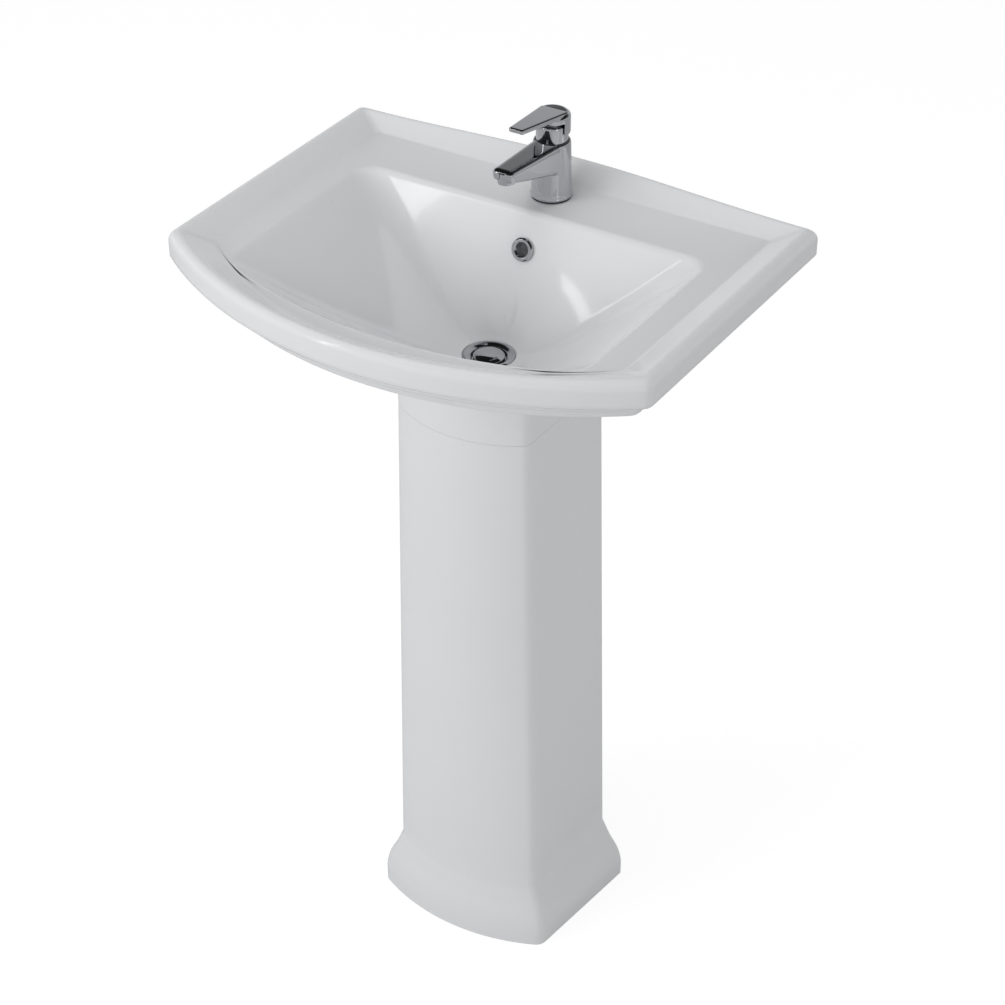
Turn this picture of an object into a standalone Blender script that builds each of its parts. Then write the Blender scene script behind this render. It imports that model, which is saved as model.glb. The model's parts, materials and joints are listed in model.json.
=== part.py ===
# Pedestal sink: a bow-fronted china basin on a hollow pedestal, with a single-lever mixer tap,
# a push-to-open waste and a bottle trap. Metres, +Z up, +X to the user's right, the user at -Y.
# The origin is on the floor, under the middle of the basin; the wall is at the back, +Y.

import math

import bmesh
import bpy
from mathutils import Matrix, Vector

# ---- Driving sizes ----

# Basin
rim_width = 0.570          # overall width, across the back
rim_depth = 0.445          # overall depth, wall to the middle of the bowed front
rim_height = 0.902         # floor to the crest of the rim
front_bow = 0.094          # how far the middle of the front stands out from its corners
front_narrowing = 0.004    # each side comes in by this much towards the front
back_rise = 0.011          # gentle arch of the rim along the wall
side_rim = 0.044           # width of the rolled rim at the sides
back_rim = 0.028
front_rim = 0.033
ledge_drop = 0.0136        # rim crest down to the flat ledge
side_ledge = 0.034         # flat ledge between rim and bowl
back_ledge = 0.0735
front_ledge = 0.021
bowl_depth = 0.132         # ledge down to the waste
bowl_curve = 1.15          # 1 for flat bowl walls, 2 for well rounded ones
basin_corner = 0.007
bowl_corner = 0.030
china = 0.012              # wall of the basin
lip_height = 0.029         # rim crest down to the underside of the lip
moulding_drop = 0.024      # underside of the lip down to the underside of the mouldings
moulding_inset = 0.024     # how far the mouldings step in under the lip
basin_height = 0.202       # basin's seat on the pedestal up to the rim's crest

# Pedestal
shaft_top_half_width = 0.0820
shaft_foot_half_width = 0.0940
shaft_top_splay = 0.003    # the open back is wider than the front by this much a side
shaft_foot_splay = 0.010
shaft_front = -0.041       # middle of the bowed front, measured from the basin's middle
shaft_bow = 0.027
shaft_back = 0.133
pedestal_wall = 0.011
plinth_height = 0.078
plinth_flare = 0.018       # how far the plinth stands out at the sides
plinth_front_flare = 0.011
plinth_splay = 0.010

# Tap
tap_to_wall = 0.0566       # tap's axis to the wall
tap_radius = 0.0217
tap_top_radius = 0.0199
tap_body_height = 0.0660
spout_reach = 0.091        # tap's axis to the aerator's
spout_height = 0.0580      # ledge to the aerator's mouth
lever_reach = 0.0735
pivot_height = 0.0665      # ledge to the lever's pivot
cover_radius = 0.0173
cover_height = 0.0205      # pivot to the top of the domed cartridge cover
hood_mouth = 0.0222        # pivot to the front edge of the lever's cap
hood_wall = 0.0013
hood_low = 0.0085          # pivot to the hood's lower edge, which clears the body when lifted
spindle_radius = 0.0032
pin_radius = 0.0013
grub_radius = 0.0018
indicator_radius = 0.0027  # coloured plug over the grub screw
indicator_depth = 0.0028
plate_height = 0.0247      # pivot to the underside of the lever's top plate
cavity_radius = 0.0156     # for the cartridge, down from the top of the tap's body
tap_hole_radius = 0.0175
clamp_radius = 0.0235      # rubber and plate under the ledge
stud_radius = 0.0040
stud_length = 0.075
inlet_radius = 0.0050
inlet_length = 0.050

# Waste and overflow
waste_to_wall = 0.182      # waste's axis to the wall
flange_radius = 0.0285
waste_radius = 0.0205      # thread of the waste body
waste_bore = 0.0165
waste_length = 0.078
plug_radius = 0.0175
boss_thickness = 0.030     # china around the waste hole
overflow_drop = 0.038      # ledge down to the middle of the overflow hole
overflow_radius = 0.0090
overflow_ring_radius = 0.0128
channel_radius = 0.0055

# Trap
trap_tube_radius = 0.0160
trap_tube_wall = 0.0015
trap_radius = 0.0270
trap_height = 0.070
outlet_drop = 0.124        # waste seat down to the outlet pipe
outlet_radius = 0.0160

# Fixings
wall_bolt_spacing = 0.280
wall_bolt_radius = 0.0050
floor_screw_radius = 0.0030
floor_lug = 0.026

# Clearances
gap = 0.0003               # between pieces that touch
slip = 0.0006              # around pieces that turn or slide

# ---- Places that follow from them ----

wall_y = rim_depth / 2
front_y = -rim_depth / 2
ledge_z = rim_height - ledge_drop
lip_z = rim_height - lip_height
under_z = lip_z - moulding_drop
seat_height = rim_height - basin_height
waste_y = wall_y - waste_to_wall
waste_z = ledge_z - bowl_depth
tap_y = wall_y - tap_to_wall
pivot_z = ledge_z + pivot_height
flange_seat_z = waste_z - 0.0016
bowl_back_y = wall_y - back_rim - back_ledge
pedestal_top = seat_height - gap
outlet_z = waste_z - outlet_drop

ring_steps = 6             # points on each stretch of a basin ring
round_steps = 24           # facets on a visible turned piece
small_steps = 16           # facets on a small one

# ---- Start clean ----

for old in list(bpy.data.objects):
    bpy.data.objects.remove(old, do_unlink=True)

sink = bpy.data.collections.new("pedestal_sink")
cutters = bpy.data.collections.new("cutters")
bpy.context.scene.collection.children.link(sink)
bpy.context.scene.collection.children.link(cutters)


def material(name, colour, roughness, metallic=0.0):
    made = bpy.data.materials.new(name)
    made.use_nodes = True
    shader = made.node_tree.nodes["Principled BSDF"]
    shader.inputs["Base Color"].default_value = (*colour, 1.0)
    shader.inputs["Roughness"].default_value = roughness
    shader.inputs["Metallic"].default_value = metallic
    return made


china_white = material("china_white", (0.86, 0.87, 0.88), 0.12)
chrome = material("chrome", (0.78, 0.79, 0.80), 0.08, 1.0)
brass = material("brass", (0.72, 0.55, 0.26), 0.30, 1.0)
steel = material("steel", (0.60, 0.61, 0.62), 0.32, 1.0)
black_rubber = material("black_rubber", (0.03, 0.03, 0.03), 0.75)
white_plastic = material("white_plastic", (0.82, 0.82, 0.80), 0.40)
ceramic_disc = material("cartridge_plastic", (0.70, 0.71, 0.68), 0.35)
indicator_red = material("indicator_red", (0.60, 0.05, 0.04), 0.35)


# ---- Modelling helpers ----

def add(name, mesh, finish, place=(0, 0, 0), collection=None, sharp=35):
    thing = bpy.data.objects.new(name, mesh)
    thing.location = place
    mesh.materials.append(finish)
    mesh.shade_smooth()
    mesh.set_sharp_from_angle(angle=math.radians(sharp))
    (collection or sink).objects.link(thing)
    return thing


def from_bmesh(name, bm):
    mesh = bpy.data.meshes.new(name)
    bmesh.ops.recalc_face_normals(bm, faces=bm.faces)
    bm.to_mesh(mesh)
    bm.free()
    return mesh


def point_along(bm, axis):
    """Turn geometry made along Z so that it runs along the axis given."""
    turn = Vector((0, 0, 1)).rotation_difference(Vector(axis)).to_matrix().to_4x4()
    bmesh.ops.transform(bm, matrix=turn, verts=bm.verts)


def rod_mesh(name, radius, length, axis=(0, 0, 1), steps=small_steps, end_radius=None):
    """A rod or cone from the origin along an axis."""
    bm = bmesh.new()
    top = radius if end_radius is None else end_radius
    bmesh.ops.create_cone(bm, cap_ends=True, segments=steps, radius1=radius, radius2=top, depth=length)
    bmesh.ops.translate(bm, vec=(0, 0, length / 2), verts=bm.verts)
    point_along(bm, axis)
    return from_bmesh(name, bm)


def box_mesh(name, size, shift=(0, 0, 0)):
    bm = bmesh.new()
    bmesh.ops.create_cube(bm, size=1.0)
    bmesh.ops.scale(bm, vec=size, verts=bm.verts)
    bmesh.ops.translate(bm, vec=shift, verts=bm.verts)
    return from_bmesh(name, bm)


def turned(name, profile, finish, place, steps=round_steps, closed=True, collection=None, axis=None):
    """A turned piece: the profile (radius, height) runs down its outer side, and up its bore if closed."""
    mesh = bpy.data.meshes.new(name)
    points = [(radius, 0, height) for radius, height in profile]
    edges = [(i, i + 1) for i in range(len(points) - 1)]
    if closed:
        edges.append((len(points) - 1, 0))
    mesh.from_pydata(points, edges, [])
    thing = bpy.data.objects.new(name, mesh)
    thing.location = place
    mesh.materials.append(finish)
    (collection or sink).objects.link(thing)
    screw = thing.modifiers.new("turn", "SCREW")
    screw.axis = "Z"
    screw.angle = math.tau
    screw.steps = steps
    screw.render_steps = steps
    screw.use_merge_vertices = True
    screw.merge_threshold = 0.00001
    screw.use_smooth_shade = True
    if axis is not None:
        thing.rotation_euler = Vector((0, 0, 1)).rotation_difference(Vector(axis)).to_euler()
    return thing


def ring_profile(outer, inner, top, bottom):
    return [(outer, top), (outer, bottom), (inner, bottom), (inner, top)]


def as_cutter(thing):
    for holder in thing.users_collection:
        holder.objects.unlink(thing)
    cutters.objects.link(thing)
    thing.hide_render = True
    thing.display_type = "WIRE"
    return thing


def combine(target, other, operation):
    as_cutter(other)
    step = target.modifiers.new(operation.lower(), "BOOLEAN")
    step.operation = operation
    step.solver = "EXACT"
    step.object = other


def cut(target, other):
    combine(target, other, "DIFFERENCE")


def join(target, other):
    combine(target, other, "UNION")


def loft(name, rings, finish, cap_ends, wrap_rings, collection=None):
    """Skin through rings of equal length. wrap_rings joins the last ring to the first."""
    bm = bmesh.new()
    made = [[bm.verts.new(point) for point in ring] for ring in rings]
    count = len(made[0])
    pairs = list(zip(made, made[1:]))
    if wrap_rings:
        pairs.append((made[-1], made[0]))
    for lower, upper in pairs:
        for i in range(count):
            j = (i + 1) % count
            bm.faces.new((lower[i], lower[j], upper[j], upper[i]))
    if cap_ends:
        bm.faces.new(made[0])
        bm.faces.new(made[-1])
    return add(name, from_bmesh(name, bm), finish, collection=collection)


def along(start, end, share):
    return tuple(a + (b - a) * share for a, b in zip(start, end))


def corner_points(before, corner, after, steps):
    """Points round a corner, from just past `before` to `after`."""
    found = []
    for i in range(1, steps + 1):
        t = i / steps
        found.append(along(along(before, corner, t), along(corner, after, t), t))
    return found


def bowed_outline(back_half, front_half, back, corner, middle, back_radius, front_radius):
    """Plan of the basin: straight back and sides, bowed front, as (x, y) points all the way round."""
    sag = corner - middle
    radius = (front_half ** 2 + sag ** 2) / (2 * sag)
    sweep = math.asin(front_half / radius)

    def bow(share):
        angle = sweep * share
        return (radius * math.sin(angle), middle + radius * (1 - math.cos(angle)))

    side_run = back - corner
    start = (back_half - (back_half - front_half) * back_radius / side_run, back - back_radius)
    stop = (front_half + (back_half - front_half) * front_radius / side_run, corner + front_radius)
    trim = 1 - front_radius / (radius * sweep)
    half = [((back_half - back_radius) * i / ring_steps, back) for i in range(ring_steps + 1)]
    half += corner_points(half[-1], (back_half, back), start, 3)
    half += [along(start, stop, i / ring_steps) for i in range(1, ring_steps + 1)]
    half += corner_points(stop, (front_half, corner), bow(trim), 3)
    half += [bow(trim * (1 - i / ring_steps)) for i in range(1, ring_steps + 1)]
    return half + [(-x, y) for x, y in reversed(half[1:-1])]


# ---- Basin ----

corner_y = front_y + front_bow


def rim_outline(side, back, front):
    """The basin's outline, taken in by an amount at the sides, the back and the front."""
    return bowed_outline(
        rim_width / 2 - side, rim_width / 2 - front_narrowing - side, wall_y - back,
        corner_y + front * 0.75, front_y + front, basin_corner, basin_corner)


def share_outline(share):
    """An outline inside the rim: 0 is the outer edge, 1 is where the ledge begins."""
    return rim_outline(side_rim * share, back_rim * share, front_rim * share)


def bowl_outline(spread=0.0):
    half = rim_width / 2 - side_rim - side_ledge + spread
    front = front_y + front_rim + front_ledge - spread
    corner = front + 0.046
    return bowed_outline(half, half - 0.003, bowl_back_y + spread, corner, front, bowl_corner, 0.022)


def waste_circle(outline, radius):
    """A ring around the waste that stays outside the radius between its points too."""
    angles = [math.atan2(y - waste_y, x) for x, y in outline]
    found = []
    for before, angle, after in zip(angles[-1:] + angles, angles, angles[1:] + angles[:1]):
        step = max(abs(math.remainder(angle - other, math.tau)) for other in (before, after))
        reach = radius / math.cos(step / 2)
        found.append((reach * math.cos(angle), waste_y + reach * math.sin(angle)))
    return found


def bowl_fall(share):
    """How far the bowl has dropped, 0 at its edge to 1 at the waste."""
    return 1 - (1 - share) ** bowl_curve


def lift(outline, height):
    return [(x, y, height) for x, y in outline]


def arched(outline, height, rise):
    """A ring of the rim, arched up along the wall."""
    lifted = []
    for x, y in outline:
        near_wall = max(0.0, (y - (wall_y - back_rim)) / back_rim)
        arch = (0.5 + 0.5 * math.cos(math.pi * min(1.0, abs(x) / (rim_width * 0.5)))) * near_wall
        lifted.append((x, y, height + rise * arch))
    return lifted


def basin_rings():
    rings = []
    # mouldings and lip, flat against the wall at the back, going up
    for inset, height in [(1.0, 0.0), (0.91, 0.40), (0.60, 0.48), (0.50, 0.90), (0.12, 1.0)]:
        taken = moulding_inset * inset
        rings.append(lift(rim_outline(taken, 0.0, taken), under_z + moulding_drop * height))
    rings.append(arched(share_outline(0.0), rim_height - 0.0110, back_rise * 0.4))
    # roll over the crest and down to the ledge
    for share, drop in [(0.03, 0.0065), (0.10, 0.0023), (0.24, 0.0), (0.42, 0.0014), (0.58, 0.0046),
                        (0.74, 0.0090), (0.88, 0.0124)]:
        rings.append(arched(share_outline(share), rim_height - drop, back_rise))
    rings.append(lift(share_outline(1.0), ledge_z))
    # ledge and bowl
    edge = bowl_outline()
    rings.append(lift(bowl_outline(0.004), ledge_z))
    hole = waste_circle(edge, flange_radius + slip)
    for share in (0.0, 0.06, 0.16, 0.30, 0.48, 0.68, 0.86, 1.0):
        plan = [along(a, b, share) for a, b in zip(edge, hole)]
        rings.append(lift(plan, ledge_z - 0.0025 - (bowl_depth - 0.0025) * bowl_fall(share)))
    # seat of the flange and the hole through the boss
    bore = waste_radius + 0.002
    rings.append(lift(hole, flange_seat_z))
    rings.append(lift(waste_circle(edge, bore), flange_seat_z))
    rings.append(lift(waste_circle(edge, bore), waste_z - boss_thickness))
    # underside of the boss and of the bowl, going out and up
    boss = flange_radius + 0.010
    rings.append(lift(waste_circle(edge, boss), waste_z - boss_thickness))
    outer = bowl_outline(china)
    foot = waste_circle(edge, boss)
    for share in (1.0, 0.76, 0.50, 0.28, 0.14):
        plan = [along(a, b, share) for a, b in zip(outer, foot)]
        fall = bowl_depth * bowl_fall(share) + china * (0.5 + 0.5 * share)
        rings.append(lift(plan, ledge_z - fall))
    return rings


def make_basin():
    basin = loft("basin", basin_rings(), china_white, cap_ends=False, wrap_rings=True)
    # pocket under the ledge behind the bowl, which the tap is fastened in
    pocket_front = tap_y - clamp_radius - slip - 0.0005
    pocket_back = wall_y - china
    pocket_top = ledge_z - china
    pocket_half = rim_width / 2 - side_rim - side_ledge
    pocket = add("pocket_cut", box_mesh(
        "pocket_cut", (2 * pocket_half, pocket_back - pocket_front, 0.2),
        (0, (pocket_back + pocket_front) / 2, pocket_top - 0.1)), china_white)
    cut(basin, pocket)
    # skirt that stands on the pedestal
    skirt = loft("skirt_join", [
        lift(pedestal_section(pedestal_top), seat_height),
        lift(pedestal_section(pedestal_top), skirt_top()),
    ], china_white, cap_ends=True, wrap_rings=False)
    join(basin, skirt)
    # overflow channel in a rib behind the bowl
    mouth = overflow_place()
    out = bowl_wall_axis()
    behind = mouth - out * (china + channel_radius)
    low = Vector((0, waste_y + (bowl_back_y - waste_y) * 0.50 + china, waste_z + bowl_depth * 0.16))
    end = Vector((0, waste_y + waste_radius - 0.006, waste_z - boss_thickness * 0.52))
    knee = Vector((0, waste_y + flange_radius + 0.016, end.z + 0.004))
    top = behind + Vector((0, 0, overflow_radius + 0.006))
    rib = tube("rib_join", [top, behind, low, knee], channel_radius + 0.007, china_white)
    join(basin, rib)
    channel = tube("channel_cut", [behind + Vector((0, 0, 0.004)), low, knee, end], channel_radius,
                   china_white)
    cut(basin, channel)
    hole = add("overflow_cut", rod_mesh("overflow_cut", overflow_radius, china + 2 * channel_radius + 0.012,
                                        -out, small_steps), china_white)
    hole.location = mouth + out * 0.012
    cut(basin, hole)
    # tap hole
    tap_hole = add("tap_hole_cut", rod_mesh("tap_hole_cut", tap_hole_radius, 0.06), china_white)
    tap_hole.location = (0, tap_y, ledge_z - 0.04)
    cut(basin, tap_hole)
    # wall bolt holes
    for side in (-1, 1):
        bolt_hole = add("bolt_hole_cut", rod_mesh("bolt_hole_cut", wall_bolt_radius + 0.002, 0.05, (0, 1, 0)),
                        china_white)
        bolt_hole.location = (side * wall_bolt_spacing / 2, wall_y - 0.03, bolt_z())
        cut(basin, bolt_hole)
    return basin


def skirt_top():
    """Height where the skirt's wall ends inside the china of the sloping bowl."""
    side = rim_width / 2 - side_rim - side_ledge
    front = front_y + front_rim + front_ledge
    side_share = (side - shaft_top_half_width + pedestal_wall) / (side - flange_radius)
    front_share = (shaft_front + pedestal_wall - front) / (waste_y - flange_radius - front)
    return ledge_z - bowl_depth * bowl_fall(max(side_share, front_share)) - china * 0.25


def bolt_z():
    return (under_z + ledge_z - china) / 2


def overflow_place():
    """Middle of the overflow hole, on the bowl's back wall."""
    share = 1 - (1 - overflow_drop / bowl_depth) ** (1 / bowl_curve)
    back = bowl_back_y + (waste_y + flange_radius - bowl_back_y) * share
    return Vector((0, back, ledge_z - overflow_drop))


def tube(name, points, radius, finish, sides=2, cyclic=False):
    """A round tube through points, as a closed mesh."""
    curve = bpy.data.curves.new(name, "CURVE")
    curve.dimensions = "3D"
    curve.bevel_depth = radius
    curve.bevel_resolution = sides
    curve.use_fill_caps = True
    line = curve.splines.new("POLY")
    line.points.add(len(points) - 1)
    for spot, point in zip(line.points, points):
        spot.co = (*point, 1)
    line.use_cyclic_u = cyclic
    shape = bpy.data.objects.new(name + "_curve", curve)
    sink.objects.link(shape)
    bpy.context.view_layer.update()
    seen = shape.evaluated_get(bpy.context.evaluated_depsgraph_get())
    mesh = bpy.data.meshes.new_from_object(seen)
    bm = bmesh.new()
    bm.from_mesh(mesh)
    bmesh.ops.remove_doubles(bm, verts=bm.verts, dist=0.00001)
    bmesh.ops.recalc_face_normals(bm, faces=bm.faces)
    bm.to_mesh(mesh)
    bm.free()
    bpy.data.objects.remove(shape, do_unlink=True)
    mesh.materials.clear()
    return add(name, mesh, finish)


# ---- Pedestal ----

def pedestal_shape(height):
    """Half width, splay, and share of the plinth's flare at a height."""
    rise = min(1.0, max(0.0, (height - plinth_height) / (pedestal_top - plinth_height)))
    half = shaft_foot_half_width + (shaft_top_half_width - shaft_foot_half_width) * rise
    splay = shaft_foot_splay + (shaft_top_splay - shaft_foot_splay) * rise
    # a short cove under the shaft, a faint bead, a roll, then an upright band
    down = min(1.0, max(0.0, 1 - height / plinth_height) / 0.75)
    roll = 0.5 * math.sin(math.pi / 2 * down) + 0.25 * (1 - math.cos(math.pi * down))
    bead = 0.02 * math.sin(2 * math.tau * down) * math.sin(math.pi * down)
    return half, splay, roll + bead


def u_points(half, back_half, front, bow, back, corner):
    """A U in plan: from the open back on the right, round the bowed front, to the back on the left."""
    corner_y_here = front + bow
    radius = (half ** 2 + bow ** 2) / (2 * bow)
    sweep = math.asin(half / radius)
    side = Vector((half - back_half, corner_y_here - back)).normalized()
    start = (half - side.x * corner, corner_y_here - side.y * corner)
    trim = 1 - corner / (radius * sweep)

    def bow_point(share):
        return (radius * math.sin(sweep * share), front + radius * (1 - math.cos(sweep * share)))

    points = [along((back_half, back), start, i / 3) for i in range(4)]
    points += corner_points(start, (half, corner_y_here), bow_point(trim), 3)
    points += [bow_point(trim * (1 - i / 6)) for i in range(1, 7)]
    return points + [(-x, y) for x, y in reversed(points[:-1])]


def pedestal_section(height):
    """Closed outline of the U-shaped wall at a height."""
    half, splay, flare = pedestal_shape(height)
    foot = half + plinth_flare * flare
    outer = u_points(foot, foot + splay + plinth_splay * flare, shaft_front - plinth_front_flare * flare,
                     shaft_bow, shaft_back, 0.008)
    inner_half = half - pedestal_wall
    inner = u_points(inner_half, inner_half + splay, shaft_front + pedestal_wall, shaft_bow * 0.9,
                     shaft_back, 0.006)
    return outer + list(reversed(inner))


def make_pedestal():
    heights = [0.0, 0.25, 0.40, 0.50, 0.60, 0.70, 0.80, 0.90, 1.0]
    levels = [plinth_height * share for share in heights]
    levels += [plinth_height + (pedestal_top - plinth_height) * share for share in (0.5, 1.0)]
    rings = [lift(pedestal_section(level), level) for level in levels]
    pedestal = loft("pedestal", rings, china_white, cap_ends=True, wrap_rings=False)
    # lugs inside the foot, each with a screw hole
    for side in (-1, 1):
        reach = 0.022
        lug = add("foot_lug_join", box_mesh(
            "foot_lug_join", (floor_lug + reach, floor_lug, 0.012),
            (side * (lug_x() + reach / 2), lug_y(), 0.006)), china_white)
        join(pedestal, lug)
        screw_hole = add("screw_hole_cut", rod_mesh("screw_hole_cut", floor_screw_radius + 0.0008, 0.03),
                         china_white)
        screw_hole.location = (side * lug_x(), lug_y(), -0.01)
        cut(pedestal, screw_hole)
    return pedestal


def lug_x():
    return shaft_foot_half_width - pedestal_wall - floor_lug / 2


def lug_y():
    return shaft_back - floor_lug * 1.6


# ---- Tap ----

def tap_at(forward=0.0, up=0.0, right=0.0):
    """A place measured from the middle of the tap's base on the ledge."""
    return Vector((right, tap_y - forward, ledge_z + up))


def make_tap_body():
    base = gap + 0.0018
    top = tap_top_radius
    profile = [
        (0.0, tap_body_height), (top - 0.0022, tap_body_height), (top - 0.0006, tap_body_height - 0.0010),
        (top, tap_body_height - 0.0026), (tap_radius, base + 0.010), (tap_radius, base + 0.006),
        (tap_radius + 0.0010, base + 0.003), (tap_radius + 0.0010, base), (0.0, base)]
    body = turned("tap_body", profile, chrome, tap_at(), closed=False)
    join(body, spout_block())
    # cavity for the cartridge, waterway, and a seat for the aerator
    cavity = add("cavity_cut", rod_mesh("cavity_cut", cavity_radius, tap_body_height, steps=round_steps),
                 chrome, tap_at(up=tap_body_height - 0.0415))
    cut(body, cavity)
    mouth = tap_at(forward=spout_reach, up=spout_height + 0.005)
    root = tap_at(forward=0.010, up=0.042)
    waterway = add("waterway_cut", rod_mesh("waterway_cut", 0.0050, (mouth - root).length, mouth - root),
                   chrome, root)
    cut(body, waterway)
    seat = add("aerator_cut", rod_mesh("aerator_cut", 0.0098, 0.0160), chrome,
               tap_at(forward=spout_reach, up=spout_height - 0.006))
    cut(body, seat)
    # sockets for the stud and the two inlets
    for place, radius in [(tap_at(forward=-0.0095), stud_radius)] + [
            (tap_at(right=side * 0.0068, forward=0.004), inlet_radius) for side in (-1, 1)]:
        socket = add("socket_cut", rod_mesh("socket_cut", radius + gap, 0.016), chrome,
                     place + Vector((0, 0, -0.002)))
        cut(body, socket)
    for side in (-1, 1):
        feed = add("feed_cut", rod_mesh("feed_cut", 0.0030, 0.022, steps=10), chrome,
                   tap_at(right=side * 0.0068, forward=0.004, up=0.010))
        cut(body, feed)
    return body


def spout_block():
    """Spout: a block that narrows and thins towards its rounded tip and rises a little."""
    root, tip = 0.004, spout_reach + 0.0095
    low_root, high_root = 0.030, tap_body_height - 0.0005
    low_tip, high_tip = spout_height, spout_height + 0.0130
    bm = bmesh.new()
    bmesh.ops.create_cube(bm, size=1.0)
    for vert in bm.verts:
        out = vert.co.y < 0
        up = vert.co.z > 0
        half = 0.0125 if out else 0.0172
        height = (high_tip if up else low_tip) if out else (high_root if up else low_root)
        vert.co = Vector((math.copysign(half, vert.co.x), -(tip if out else root), height))
    edges = []
    for edge in bm.edges:
        ends = [vert.co.y for vert in edge.verts]
        if max(ends) - min(ends) > 0.01 or max(ends) < -root - 0.01:
            edges.append(edge)
    bmesh.ops.bevel(bm, geom=edges, offset=0.0055, segments=3, profile=0.5, affect="EDGES")
    return add("spout_join", from_bmesh("spout_join", bm), chrome, tap_at())


def make_lever():
    """A cap over the cartridge cover, deep at the back, whose top plate runs out as a rising tongue."""
    inner = cover_radius + slip
    outer = inner + hood_wall
    low = hood_low
    cheek = 0.0055
    plate_top = plate_height + 0.0068
    pivot = (0, tap_y, pivot_z)
    lever = add("lever", rod_mesh("lever", outer, plate_top - low, steps=round_steps), chrome,
                (0, tap_y, pivot_z))
    lever.data.transform(Matrix.Translation((0, 0, low)))
    cheeks = add("cheeks_join", box_mesh("cheeks_join",
                                         (2 * outer - 0.00002, cheek, plate_top - low - 0.0002),
                                         (0, -cheek / 2, (plate_top + low) / 2)), chrome, pivot)
    join(lever, cheeks)
    hollow = add("hood_cut", rod_mesh("hood_cut", inner, plate_height, steps=round_steps), chrome, pivot)
    cut(lever, hollow)
    between = add("between_cheeks_cut", box_mesh("between_cheeks_cut", (2 * inner, 0.05, hood_mouth),
                                                 (0, -0.025, hood_mouth / 2)), chrome, pivot)
    cut(lever, between)
    front = add("front_cut", box_mesh("front_cut", (0.06, 0.04, hood_mouth),
                                      (0, -cheek - 0.02, hood_mouth / 2)), chrome, pivot)
    cut(lever, front)
    join(lever, tongue_block(plate_top))
    # socket for the spindle, and the grub screw's hole with its plug
    bore = add("spindle_bore_cut", rod_mesh("spindle_bore_cut", spindle_radius + gap, 0.0060), chrome,
               (0, tap_y, pivot_z + plate_height - 0.0020))
    cut(lever, bore)
    screw_hole = add("grub_hole_cut", rod_mesh("grub_hole_cut", grub_radius + gap, 0.030, (0, 1, 0), 12),
                     chrome, (0, tap_y + spindle_radius, grub_z()))
    cut(lever, screw_hole)
    plug_seat = add("plug_seat_cut", rod_mesh("plug_seat_cut", indicator_radius + gap, 0.010, (0, 1, 0)),
                    chrome, (0, tap_y + outer - indicator_depth - gap, grub_z()))
    cut(lever, plug_seat)
    return lever


def tongue_block(plate_top):
    """The tongue: wide at the hood, narrow, thin and higher at its tip."""
    bm = bmesh.new()
    bmesh.ops.create_cube(bm, size=1.0)
    for vert in bm.verts:
        out = vert.co.y < 0
        up = vert.co.z > 0
        half = 0.0085 if out else 0.0175
        height = plate_top if up else plate_height
        if out:
            height += 0.0085 if up else 0.0100
        vert.co = Vector((math.copysign(half, vert.co.x), -lever_reach if out else 0.008, height))
    bmesh.ops.bevel(bm, geom=list(bm.edges), offset=0.0022, segments=1, profile=0.5, affect="EDGES")
    return add("tongue_join", from_bmesh("tongue_join", bm), chrome, (0, tap_y, pivot_z))


def grub_z():
    return pivot_z + plate_height + 0.0032


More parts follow.
